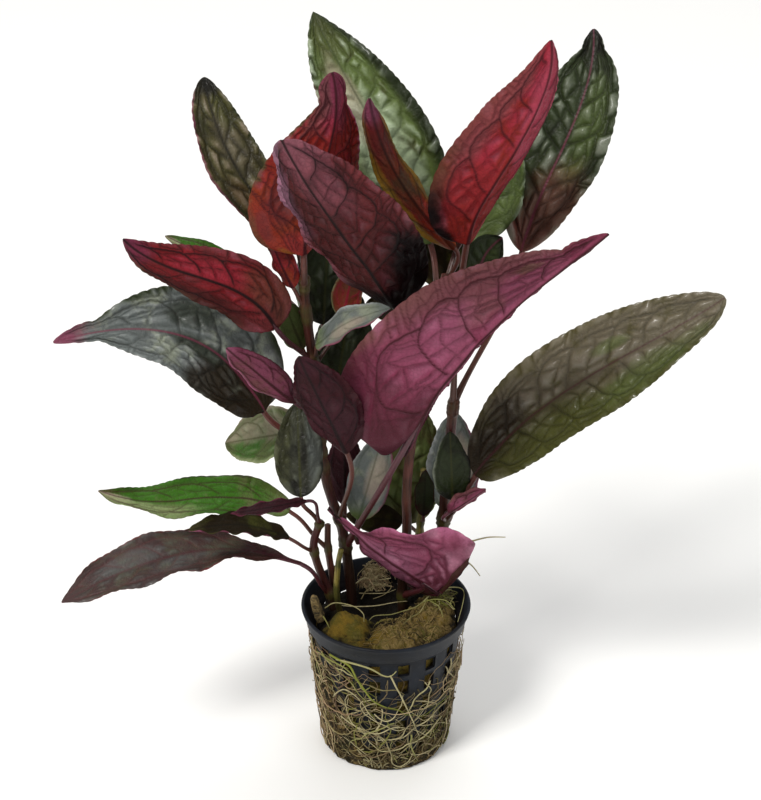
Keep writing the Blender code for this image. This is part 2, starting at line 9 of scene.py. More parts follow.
import bpy
import numpy as np
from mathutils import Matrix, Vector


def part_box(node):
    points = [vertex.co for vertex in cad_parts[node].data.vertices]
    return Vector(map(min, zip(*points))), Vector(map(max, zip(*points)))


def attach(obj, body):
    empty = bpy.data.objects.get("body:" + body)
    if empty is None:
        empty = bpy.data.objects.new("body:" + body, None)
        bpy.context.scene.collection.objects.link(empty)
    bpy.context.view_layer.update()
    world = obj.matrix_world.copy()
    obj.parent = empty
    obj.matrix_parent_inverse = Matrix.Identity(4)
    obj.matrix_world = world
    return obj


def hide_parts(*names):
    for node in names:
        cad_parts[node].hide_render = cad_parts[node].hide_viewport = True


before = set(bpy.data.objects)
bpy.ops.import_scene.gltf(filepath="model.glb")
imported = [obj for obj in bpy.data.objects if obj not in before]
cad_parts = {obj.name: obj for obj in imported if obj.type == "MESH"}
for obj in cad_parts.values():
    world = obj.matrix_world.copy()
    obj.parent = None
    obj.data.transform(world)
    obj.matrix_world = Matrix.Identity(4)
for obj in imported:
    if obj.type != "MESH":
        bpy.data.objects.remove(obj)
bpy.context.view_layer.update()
CAD_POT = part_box("pot")

bl_info = {
    "name": "Potted red flame ivy",
    "version": (1, 0, 0),
    "blender": (4, 5, 0),
    "location": "3D View > Sidebar > Ivy",
    "description": "Builds a red flame ivy with waffled two-coloured leaves in a small net pot",
    "category": "Add Mesh",
}

MM = 0.001

# Camera: where it stands, how far it is tipped up from straight down, and its lens
CAMERA_PLACE = (-1.6, -413.54, 329.04)
CAMERA_TILT = 62.587
CAMERA_LENS = 76.0
CAMERA_SENSOR = 36.0

# Pot
POT_HEIGHT = CAD_POT[1].z / MM
RIM_RADIUS = CAD_POT[1].x / MM
RIM_HEIGHT = 6.0
WALL_TOP_RADIUS = 22.2
WALL_BASE_RADIUS = 17.6
WALL = 1.0                # thickness of the wall
FLOOR = 1.6               # height of the floor's upper side
WINDOW_COLUMNS = 16
WINDOW_STEPS = 4          # faces across a window, and across the bar next to it
BAR_STEPS = 6
WINDOW_ANGLE = 9.0
FIRST_WINDOW = -76.5
WINDOW_ROWS = ((36.4, 40.4), (29.5, 34.5), (21.5, 27.0), (13.5, 19.0), (5.5, 11.0))

# Stone wool
WOOL_FLOOR = 1.9
WOOL_SHOULDER = 40.1      # where the tapered side turns into the top
WOOL_RIM_LEVEL = 42.0     # the top between its lumps
WOOL_EDGE_LEVEL = 40.8    # lowest level of the top's edge, at the sides and the back
WOOL_CLEARANCE = 0.12     # between the inside of the wall and the wool
WOOL_COLUMNS = 150
FIBRE_ROWS = 12
FIBRE_REACH = 20.0        # farthest place of a loose fibre from the middle
WOOL_LUMPS = (            # x, y, radius, rise above the rim level
    (-11.5, -5.0, 6.0, 5.0),
    (12.0, -2.0, 8.5, 3.0),
    (1.0, -13.0, 7.0, 3.0),
    (14.0, 8.0, 6.0, 1.5),
    (-2.0, 9.0, 9.0, -6.0),
    (-4.0, 20.0, 5.0, 2.0),
    (-20.0, -1.0, 4.0, -3.5),
)
WEDGE_PROFILE = (         # x, z of the pale wedge of wool that stands at the left of the rim
    (-20.0, 41.2), (-21.3, 43.6), (-22.2, 49.6), (-20.4, 50.0), (-18.8, 46.0), (-18.0, 41.8))
WEDGE_FRONT = -3.0
WEDGE_BACK = 1.0
WEDGE_LAYERS = 17
WEDGE_SIDES = 48

# Leaves
STALK_RADIUS = 0.9
STALK_STEP = 0.9          # between the rings of a stalk
VEIN_PITCH = 12.5         # between side veins of a large blade
VEIN_POINTS = 15          # points of a side vein's curve
VEIN_MEET = 8             # the point of that curve on which the vein below it ends
CELL_PITCH = 4.2          # between the finer veins that join them
FAR = 9.0                 # distance of a place that no vein is near
TOOTH_PITCH = 2.5         # between the rounded teeth of a margin
DOME_REACH = 2.1          # from a vein to the full height of a blister
RIB_HEIGHT = 0.55         # of the midrib under the blade, at its base
RIB_WIDTH = 0.55          # from its middle to where it has nearly run out


class Leaf(NamedTuple):
    """One leaf: its stalk runs from root to base, its blade from base to tip.

    face is the way the upper side looks. bow and sway push the midrib towards the
    upper side and towards the leaf's right at one and two thirds of its length.
    fold is the rise of the left and right halves out of flat in degrees. shape holds the
    two powers of the outline, lobe how far the margins reach back past the base, and
    halves the widths of the two halves. tail is where the blade ends and a drawn-out tip
    goes on, and that tip's share of the width. color is the leaf's slot in the CAD.
    """
    name: str
    root: tuple
    base: tuple
    tip: tuple
    width: float
    face: tuple
    bow: tuple = (0.0, 0.0)
    sway: tuple = (0.0, 0.0)
    fold: tuple = (12.0, 12.0)
    shape: tuple = (0.55, 0.75)
    lobe: float = 0.0
    halves: tuple = (1.0, 1.0)
    tail: tuple = (1.0, 0.0)
    color: str = "green"


LEAVES = (
    # crown
    Leaf("crown_back_leaf", (14, 9, 142), (12, 17.5, 154), (-20, 44, 211), 27, (0.1, -0.8, 0.5),
         bow=(8, 8), sway=(2, -3), shape=(0.55, 0.85)),
    Leaf("upper_left_green_leaf", (-22, 6, 149), (-26, 9, 159), (-49, 30, 197), 16, (0.3, -0.8, 0.45),
         bow=(4, 4), sway=(-6, -7), shape=(0.55, 0.65)),
    Leaf("crown_red_leaf", (-22, 0.7, 147), (-22, 2, 157.5), (-14, 4, 206), 32, (-0.45, 0.85, 0.1),
         bow=(-5, -5), sway=(6, -5), fold=(22, 25), color="red", shape=(0.4, 0.95), halves=(1.2, 1.0),
         tail=(0.94, 0.25)),
    Leaf("crown_maroon_leaf", (11, 1.6, 130), (2, -4, 145), (-25, -28, 199), 32, (0.1, 0.85, 0.45),
         bow=(-3, -3), sway=(-3, 1), fold=(22, 25), color="maroon", shape=(0.36, 0.62)),
    Leaf("crown_narrow_leaf", (17, 5, 147), (18, 4, 158), (-4.5, 8, 198), 14, (-0.3, 0.9, 0.1),
         sway=(4, 6), fold=(50, 50), color="red", shape=(0.5, 0.65)),
    Leaf("upper_right_red_leaf", (17.3, 4.3, 108), (21, -2, 162), (40, -6, 217), 30, (-0.3, 0.9, 0.2),
         bow=(-3, -3), sway=(6, -9), fold=(40, 14), color="red", shape=(0.4, 0.75), halves=(0.85, 1.0)),
    Leaf("upper_right_green_leaf", (19, 6, 110.5), (37, 14, 153), (56, 38, 208), 25, (-0.3, -0.8, 0.5),
         bow=(4, 4), sway=(-1, 9), shape=(0.62, 0.6), tail=(0.93, 0.24), color="dark_green"),
    Leaf("upper_back_pale_leaf", (16, 5.5, 147), (21, 11.5, 158), (34, 16, 183), 17, (-0.2, -0.9, 0.3),
         sway=(2, 2)),
    Leaf("left_pink_leaf", (-22.5, 4, 141), (-25, 3, 147), (-31, 5, 160), 8, (0.2, 0.8, 0.3),
         fold=(20, 20), color="red"),
    Leaf("right_curled_leaf", (14.5, 4, 142), (25, 3.5, 147), (31, 6.5, 160), 12, (0.1, -0.9, 0.4),
         sway=(-3, -3), color="dark_green"),
    # middle
    Leaf("front_purple_leaf", (-11, 9, 62), (9, -16, 117), (53, -37, 178.5), 49, (-0.1, 0.95, 0.35),
         bow=(2, 1), sway=(6, 4), color="purple", fold=(60, 34), shape=(0.1, 0.7), lobe=17,
         halves=(0.7, 1.0), tail=(0.88, 0.15)),
    Leaf("right_olive_leaf", (20.5, 9, 70), (26, 1, 91), (89, -8, 149), 28, (-0.5, -0.65, 0.55),
         bow=(7, 6), sway=(-7, 1), color="olive", shape=(0.45, 0.6), lobe=1),
    Leaf("left_red_leaf", (-22, 2, 126), (-30.5, -3, 139.5), (-67, -14, 168), 19, (-0.3, 0.95, 0.1),
         bow=(1, 1), sway=(-8, 5), fold=(20, 20), color="red", shape=(0.22, 0.75), lobe=2),
    Leaf("left_silver_leaf", (-21, 6, 96), (-35, 6, 109), (-90, -2, 133), 28, (0.25, -0.65, 0.7),
         bow=(12, 9), sway=(15, 12), color="silver", shape=(0.42, 0.85), lobe=1, halves=(1.0, 1.15),
         tail=(0.88, 0.2)),
    Leaf("low_back_green_leaf", (-17.8, 8.6, 91.5), (-25, 22, 93), (-49, 38, 80), 18, (0.1, -0.7, 0.7),
         color="bright_green"),
    Leaf("left_back_green_leaf", (-22.5, 7, 139), (-34, 15, 143), (-61, 20, 155), 9, (0.2, -0.5, 0.8),
         color="bright_green"),
    Leaf("left_small_purple_leaf", (-19, 3.5, 109), (-25, -7, 117.5), (-41, -24, 142), 10,
         (-0.2, 0.95, 0.2), fold=(20, 20), color="purple"),
    Leaf("centre_purple_leaf", (-12.5, 7, 72), (-11, -8.5, 103), (-23, -16.5, 136), 19,
         (0.1, 0.95, 0.3), bow=(-2, -2), sway=(-1, -1), fold=(25, 25), color="dark_purple"),
    Leaf("centre_silver_leaf", (-18.5, 2, 127), (-19, 2, 130), (1, -8, 146), 10, (-0.1, -0.5, 0.85),
         bow=(3, 3), color="silver"),
    Leaf("left_olive_leaf", (-20.2, 5, 123), (-23, 4.8, 128), (-28, 4.8, 142.5), 9, (0.2, -0.7, 0.6),
         color="olive"),
    Leaf("centre_orange_leaf", (-20, 5, 123), (-12, 10, 135), (-9, 15, 148), 9, (0.0, 0.9, 0.3),
         color="red"),
    Leaf("centre_dark_leaf", (-20.2, 5, 127), (-17.5, 14, 131), (-16, 25, 156), 18, (0.1, -0.9, 0.3),
         color="dark_green"),
    Leaf("centre_moss_leaf", (13, 4, 134), (4, 8, 139), (-6.5, 7.5, 138.5), 8, (0.0, -0.6, 0.8),
         bow=(1, 1), color="olive"),
    Leaf("upper_centre_olive_leaf", (13.5, 4, 137), (15.5, 18, 140), (17.5, 26, 161), 18,
         (0.0, -0.9, 0.4), color="olive"),
    Leaf("middle_back_leaf", (-17.8, 7, 101), (-14, 13, 111), (-9.5, 20, 140), 17, (0.0, -0.9, 0.3),
         color="dark_green"),
    # low
    Leaf("hanging_green_leaf", (-21, 0, 78), (-24, -4, 86), (-25, 6, 111), 14, (0.0, -0.9, 0.35),
         bow=(1, 1), color="dark_green"),
    Leaf("low_left_dark_leaf", (-19, 0, 77), (-22.5, -6.5, 86), (-43, -15, 87), 5, (0.0, -0.2, 0.95),
         color="maroon"),
    Leaf("low_left_green_leaf", (-20, 8, 62), (-28, 6, 75), (-81, -4, 88), 14, (0.15, -0.45, 0.85),
         sway=(9, -7), color="bright_green", shape=(0.4, 0.75)),
    Leaf("low_left_olive_leaf", (-22, 2, 63), (-28, -2, 71), (-55, -14, 81), 9, (0.2, -0.2, 0.95),
         bow=(2, 2), sway=(3, 3), color="olive"),
    Leaf("low_left_bronze_leaf", (-18, 4, 47), (-25, 0, 61), (-91, -20, 61), 17.5, (0.1, -0.3, 0.95),
         bow=(9, 6), sway=(10, 6), color="bronze", shape=(1.4, 0.9)),
    Leaf("low_front_purple_leaf", (8.5, 4, 46), (10, -1, 56), (-16, -12, 87), 42, (-0.1, 0.93, 0.3),
         bow=(2, 0), sway=(2, 2), color="purple", fold=(8, 35), shape=(0.3, 2.7), lobe=8,
         halves=(1.0, 0.35)),
    Leaf("small_rolled_leaf", (18, 8, 70), (18, -1, 79), (28, -3, 88), 8, (0.0, 0.7, 0.6),
         fold=(20, 20), color="purple"),
    Leaf("right_hanging_leaf", (18, 8, 72), (19, 3, 81), (18, 5, 102), 11, (0.0, -0.9, 0.4),
         bow=(2, 2), color="dark_green"),
    Leaf("right_back_pale_leaf", (16.8, 10.5, 66), (19.5, 16, 69), (20, 23, 99), 16, (0.0, -0.85, 0.5)),
    Leaf("centre_pale_leaf", (-10, 11, 62), (-8, 10, 70), (-0.5, 13.5, 98), 13, (-0.1, -0.9, 0.3),
         color="silver"),
    Leaf("centre_back_olive_leaf", (10, 16, 56), (6, 24, 60), (8.5, 29, 101), 21, (-0.1, -0.9, 0.3),
         bow=(2, 2), color="olive"),
    Leaf("centre_back_dark_leaf", (12, 14, 66), (11, 10.5, 71), (11.5, 11, 86), 6, (0.0, -0.9, 0.3),
         color="dark_purple"),
    Leaf("low_centre_dark_leaf", (8.5, 16.3, 62), (5, 18.5, 64), (-12, 19, 66), 9, (0.0, -0.9, 0.4),
         color="dark_green"),
    Leaf("centre_maroon_leaf", (-12.5, 9.4, 64), (-12, 13, 73), (-12, 18, 97), 11, (0.1, 0.9, 0.3),
         color="dark_purple"),
)


class Stem(NamedTuple):
    """A round stem through its points, with its radius at its foot and its slot in the CAD"""
    name: str
    path: tuple
    radius: float
    color: str = "stem"


STEMS = (
    Stem("left_stem", ((-15, 5, 38), (-16.5, 5, 47), (-20, 4, 58), (-21, 3, 66), (-19, 2, 74)), 1.3),
    Stem("main_stem", ((-10, 11, 36), (-11, 10, 52), (-13, 9, 68), (-17, 7, 84), (-19, 5, 104),
                       (-20, 4, 122), (-22, 4, 142), (-22, 4, 150)), 1.5),
    Stem("pale_stem", ((-13, 2, 39), (-14.5, 1, 50), (-14, 0, 60), (-13, 0, 66)), 0.9, "pale_stem"),
    Stem("red_stem", ((-14, 9, 38), (-16, 8, 52), (-17, 7, 62), (-17, 7, 70)), 1.1, "red_stem"),
    Stem("centre_stem", ((5, 8, 36), (5, 7, 52), (6, 5, 68), (6, 4, 86), (8, 3, 106), (11, 3, 124),
                         (14, 4, 140), (16, 5, 150)), 1.4, "red_stem"),
    Stem("right_stem", ((13, 10, 37), (16, 11, 54), (17, 10, 74), (18, 9, 92), (18.5, 7, 104),
                        (19, 6, 112)), 1.6),
    Stem("back_stem", ((8, 15, 35), (10, 16, 60), (11, 15, 84)), 1.1, "pale_stem"),
)
STEM_SIDES = 24
STEM_STEP = 0.6           # between the rings of a stem
NODE_REACH = 1.7          # of the swelling at a stalk, along the stem
STEM_COLORS = {           # by slot: the main colour and the clouds on it
    "stem": ("stem_brown", "dark_maroon"),
    "red_stem": ("stem_red", "stem_brown"),
    "pale_stem": ("stem_pale", "moss"),
}
STALKS = {                # the colours at the stem and at the blade
    "brown_stalk": ("stem_brown", "stem_red"),
    "wine_stalk": ("dark_maroon", "deep_mauve"),
}

# Roots: by the angle round the pot, in degrees from +X, the heights that the strands and
# the peat reach, how far the peat bulges and how dense the strands are
ROOT_MAT_TOP = ((0, 37), (25, 36), (70, 28), (125, 33), (180, 40), (225, 39), (262, 33), (295, 24),
                (322, 27), (345, 36), (360, 37))
PEAT_TOP = ((0, 20), (30, 26), (90, 24), (140, 30), (180, 36), (212, 32), (232, 17), (250, 9),
            (285, 5), (315, 9), (335, 18), (360, 20))
PEAT_BULGE = ((0, 0.9), (150, 1.0), (190, 1.5), (235, 1.3), (260, 0.8), (320, 0.9), (350, 1.0))
ROOT_MAT_BOTTOM = 0.4
MAT_RADIUS = 20.0         # middle radius of the wall, on which angles turn into lengths
PEAT_COLUMNS = 240
PEAT_ROWS = 34
PEAT_THICKEST = 2.0       # how far the peat's outside can stand off the wall
DENSITY_TURNS = ((0, 1.3), (90, 1.0), (170, 1.8), (220, 2.2), (250, 1.3), (285, 0.8), (315, 0.9),
                 (335, 1.6), (360, 1.3))
ROOT_DENSITY = np.interp(np.arange(360), *zip(*DENSITY_TURNS))
STRAND_STEPS = 34
STRAND_LIMIT = 40.5       # where strands turn back below the rim
STRAND_CEILING = 40.8     # the highest place of any strand
BARE_SIDE = 285           # angle in front at which the mat lets the wall show
WALL_ROOTS = (            # path of angle and height on the wall, radius, tone, greenness
    (((232, 40.4), (245, 40.9), (253, 41.0), (260, 40.2), (267, 38.0), (273, 37.6), (277, 40.0)),
     0.36, 0.95, 0.4),
    (((273, 37.8), (277, 34), (282, 29), (287, 24), (292, 19), (298, 13)), 0.32, 0.92, 0.1),
    (((226, 41), (241, 40), (247, 37.6), (250, 34), (256, 30.7), (263, 27.3), (271, 25.4)),
     0.4, 0.8, 0.95),
    (((204, 37), (225, 39.3), (243, 38), (252, 32), (258, 32.8)), 0.28, 0.75, 0.7),
    (((218, 40.5), (232, 36), (244, 33), (254, 28), (262, 26)), 0.24, 0.7, 0.5),
    (((225, 25), (232, 28.4), (241, 30), (251, 26.5), (259, 22), (265, 18)), 0.26, 0.85, 0.0),
    (((258, 33.8), (267, 32.2), (277, 32.6), (284, 30)), 0.24, 0.6, 0.1),
    (((305, 32.8), (297, 29), (291, 27), (289, 23.5), (296, 20.5)), 0.26, 0.9, 0.2),
    (((293, 27), (302, 25.6), (313, 22.6), (312, 19), (301, 20)), 0.24, 0.7, 0.0),
    (((243, 14.6), (261, 15.3), (277, 17.4), (295, 15), (313, 9)), 0.22, 0.85, 0.0),
    (((231, 18.7), (243, 16.7), (259, 15.2), (269, 11.5)), 0.24, 0.8, 0.0),
    (((328, 20.3), (309, 18.5), (295, 16), (280, 13.2), (263, 12.4)), 0.26, 0.85, 0.0),
    (((261, 23.3), (269, 20.5), (277, 22.4), (281, 26), (283, 30)), 0.22, 0.9, 0.0),
    (((273, 12.5), (282, 14), (290, 17.4), (305, 15.4), (325, 12.3), (345, 7)), 0.24, 0.8, 0.0),
    (((291, 14), (292, 9), (296, 5), (300, 2)), 0.3, 0.8, 0.6),
    (((326, 36.8), (325, 32.5), (334, 27), (330, 21)), 0.28, 0.75, 0.0),
    (((318, 35.8), (327, 31), (333, 33), (337, 36)), 0.22, 0.8, 0.0),
    (((300, 33), (306, 29), (303, 24), (297, 21)), 0.2, 0.85, 0.1),
)


class Tuft(NamedTuple):
    """A tuft of fine roots: middle, half widths, bottom, top, strands, tone, greenness,
    the way they run in degrees from +X and how far they spread from it"""
    name: str
    middle: tuple
    half: tuple
    bottom: float
    top: float
    strands: int
    tone: float
    green: float
    way: float
    spread: float


TUFTS = (
    Tuft("root_tuft_back", (-3.0, 16.0), (5.4, 3.4), 42.5, 51.0, 140, 0.85, 0.15, -25, 50),
    Tuft("root_tuft_right", (17.6, 3.5), (4.2, 4.6), 45.7, 48.6, 60, 0.6, 0.9, 10, 60),
)

TUFT_ROWS = 22
AIR_ROOT_ROWS = 40
AIR_ROOT_RADIUS = 0.35
SINGLE_ROOT_ROWS = 48
AIR_ROOTS = (             # thin roots that leave the right stem in the open
    ("air_root_upper", ((19.5, 10.2, 61), (25, 9, 63), (30, 8, 65), (35, 7, 65.7))),
    ("air_root_lower", ((18.9, 10.6, 56), (23, 9.5, 56), (25.5, 8.7, 54.7), (28, 8, 51.5))),
)
SINGLE_ROOTS = (          # path, radius, tone from dark to pale, greenness
    (((11.0, 2, 46.3), (13.9, 3, 48.9), (18, 5, 49.3), (21.8, 6, 48.6), (23.2, 5, 47.4),
      (22.6, 1, 46.0), (21, -5, 44)), 0.26, 0.85, 0.4),
    (((11.0, 2, 46.3), (14.4, 0, 48.6), (17.9, -1, 48.6), (20.2, -3, 47)), 0.22, 0.8, 0.7),
    (((11.0, 2, 46.3), (8.6, 0, 45.8), (5, -2, 45.8), (1.5, -4, 46.0), (-3.2, -5, 46.2),
      (-4.9, -7, 46)), 0.22, 0.7, 0.4),
    (((12.1, 2, 47.2), (15.5, -2, 47.4), (16.6, -6, 46.4)), 0.22, 0.75, 0.6),
    (((12.1, 2, 47.2), (10, -3, 46.2), (7, -6, 46.2), (5, -9, 46)), 0.2, 0.7, 0.3),
    (((-14.2, 2, 45.2), (-9.2, 3, 44.0), (-3.2, 3.5, 43.9), (2.7, 4, 44.8), (6.3, 4.5, 44.9)),
     0.2, 0.75, 0.0),
    (((-7.4, 8, 43.2), (-5.7, 10, 45.0), (-2.1, 11, 46.2), (1.5, 10, 46.4), (-0.3, 8, 45),
      (-3.8, 7, 44)), 0.2, 0.6, 0.0),
    (((-9.3, 12, 46), (-6.3, 14, 46.8), (-2.1, 14, 46.2), (1.5, 13, 47.4)), 0.24, 0.85, 0.0),
    (((-8.0, 10, 44), (-4, 9, 44.6), (0, 9, 44.8), (3, 10, 45.4)), 0.18, 0.7, 0.0),
    (((-18, 0, 45.5), (-14.9, -1, 48), (-9.6, -3, 48.2), (-6.7, -5, 47), (-6.4, -8, 46.2)),
     0.24, 0.75, 0.2),
    (((-18.4, -4, 45.4), (-17.2, -6, 44.4), (-16.3, -8, 43.6)), 0.26, 0.6, 0.5),
)

FLOOR_HALF_WIDTH = 6000.0
# Lights: name, place, target and size in metres, power in watts and colour
LIGHTS = (
    ("key_light", (-1.30, -1.35, 2.40), (0.0, 0.0, 0.1), 0.8, 68.0, (1.0, 0.98, 0.95)),
    ("fill_light", (1.90, -1.40, 1.20), (0.0, 0.0, 0.1), 1.8, 14.0, (0.95, 0.97, 1.0)),
    ("top_light", (0.20, 1.10, 2.40), (0.0, 0.0, 0.1), 1.8, 22.0, (1.0, 1.0, 1.0)),
)
WORLD_STRENGTH = 0.44


def unit(vectors):
    """Vectors scaled to length one"""
    vectors = np.asarray(vectors, float)
    return vectors / np.maximum(np.linalg.norm(vectors, axis=-1, keepdims=True), 1e-9)


def blend(value, low, high):
    """Smooth rise from 0 at low to 1 at high: 3x^2 - 2x^3 of the way between them"""
    way = np.clip((np.asarray(value, float) - low) / (high - low), 0.0, 1.0)
    return way * way * (3 - 2 * way)


def bezier(points, at):
    """Points and directions on a cubic curve at the given parameters"""
    p0, p1, p2, p3 = (np.asarray(point, float) for point in points)
    t = np.asarray(at, float)[:, None]
    place = (1 - t)**3 * p0 + 3 * (1 - t)**2 * t * p1 + 3 * (1 - t) * t**2 * p2 + t**3 * p3
    slope = 3 * (1 - t)**2 * (p1 - p0) + 6 * (1 - t) * t * (p2 - p1) + 3 * t**2 * (p3 - p2)
    return place, unit(slope)


def smooth_path(points, count):
    """Points on a smooth curve through the given ones: Hermite cubics whose slope at each
    given point is half the way between its neighbours"""
    points = np.array(points, float)
    slope = np.gradient(points, axis=0)
    at = np.linspace(0, len(points) - 1, count)
    first = np.minimum(at.astype(int), len(points) - 2)
    t = (at - first)[:, None]
    a, b, u, v = points[first], points[first + 1], slope[first], slope[first + 1]
    return ((2 * t**3 - 3 * t**2 + 1) * a + (t**3 - 2 * t**2 + t) * u
            + (3 * t**2 - 2 * t**3) * b + (t**3 - t**2) * v)


def ripple(places, size, seed, layers=3):
    """Smooth noise from -1 to 1 at points: layers of twelve sine waves in random directions,
    each layer with half the wave length and half the height of the one before. The sum of
    twelve waves is divided by its usual size and held within -1 and 1 by a tanh"""
    count, usual, limit = 12, 4.9, 1.3
    draw = np.random.default_rng(seed)
    places = np.asarray(places, float)
    total = np.zeros(places.shape[:-1])
    for layer in range(layers):
        ways = unit(draw.normal(size=(count, places.shape[-1]))) * draw.uniform(0.7, 1.4, (count, 1))
        phase = draw.uniform(0, 2 * math.pi, count)
        waves = np.sin(places @ ways.T * (2 * math.pi * 2**layer / size) + phase)
        total += waves.sum(-1) / usual * 0.5**layer
    return np.tanh(total / limit)


def around_pot(radius, angle, height):
    """Points at a radius from the pot's axis, an angle in radians and a height"""
    return np.stack(np.broadcast_arrays(radius * np.cos(angle), radius * np.sin(angle), height), -1)


def ring_faces(bodies, rows, sides):
    """Quads round tubes of stacked rings, and a cap at each end, for equal tubes in a row"""
    index = np.arange(bodies * rows * sides).reshape(bodies, rows, sides)
    here, there = index[:, :-1], index[:, 1:]
    quads = np.stack((here, np.roll(here, -1, 2), np.roll(there, -1, 2), there), -1).reshape(-1, 4)
    return quads, np.concatenate((index[:, 0, ::-1], index[:, -1]))


def tubes(paths, radii, outward, sides):
    """Points of round tubes along paths: a circle of each radius, square to the path's
    slope, with its first direction square to slope and outward"""
    slope = unit(np.gradient(paths, axis=1))
    first = unit(np.cross(slope, outward))
    second = np.cross(slope, first)
    angle = np.arange(sides) * 2 * math.pi / sides
    ring = first[:, :, None] * np.cos(angle)[:, None] + second[:, :, None] * np.sin(angle)[:, None]
    return paths[:, :, None] + np.asarray(radii)[..., None, None] * ring


def add_piece(name, points, faces, finishes, replaced=(), slot=None, values=(), kinds=None):
    """Put a mesh given in millimetres into the scene as one piece that rides on the plant.

    A piece without a slot belongs to the stage. values are named vectors kept at each
    point for the finishes to read, and kinds is the number of the finish on each face.
    """
    mesh = bpy.data.meshes.new(name)
    points = np.asarray(points, float).reshape(-1, 3)
    faces = [face for group in faces for face in np.asarray(group).tolist()]
    mesh.from_pydata((points * MM).tolist(), [], faces)
    for finish in finishes:
        mesh.materials.append(finish)
    if kinds is not None:
        mesh.polygons.foreach_set("material_index", np.asarray(kinds, np.int32))
    for label, vectors in dict(values).items():
        layer = mesh.attributes.new(label, "FLOAT_VECTOR", "POINT")
        layer.data.foreach_set("vector", np.asarray(vectors, np.float32).ravel())
    mesh.shade_smooth()
    mesh.update()
    piece = bpy.data.objects.new(name, mesh)
    bpy.context.scene.collection.objects.link(piece)
    if slot:
        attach(piece, "root")
        if replaced:
            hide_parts(*replaced)
    return piece


def add_threads(name, paths, radii, outward, sides, share, finish, slot, replaced=()):
    """Round threads along paths as one piece. share holds the tone from dark to pale of each
    thread, its greenness and, for some, its warmth"""
    points = tubes(paths, radii, np.array(outward), sides)
    kept = np.zeros(points.shape)
    for axis, numbers in enumerate(share):
        kept[..., axis] = np.reshape(numbers, (-1, 1, 1))
    faces = ring_faces(len(paths), paths.shape[1], sides)
    add_piece(name, points, faces, (finish,), replaced, slot, {"share": kept})


class Value:
    """One socket in a material's nodes. Arithmetic on it adds Math nodes."""

    def __init__(self, graph, socket):
        self.graph = graph
        self.socket = socket

    def __add__(self, other):
        return self.graph.math("ADD", self, other)

    def __radd__(self, other):
        return self.graph.math("ADD", other, self)

    def __sub__(self, other):
        return self.graph.math("SUBTRACT", self, other)

    def __rsub__(self, other):
        return self.graph.math("SUBTRACT", other, self)

    def __mul__(self, other):
        return self.graph.math("MULTIPLY", self, other)

    def __rmul__(self, other):
        return self.graph.math("MULTIPLY", other, self)

    def __truediv__(self, other):
        return self.graph.math("DIVIDE", self, other)

    def __abs__(self):
        return self.graph.math("ABSOLUTE", self)


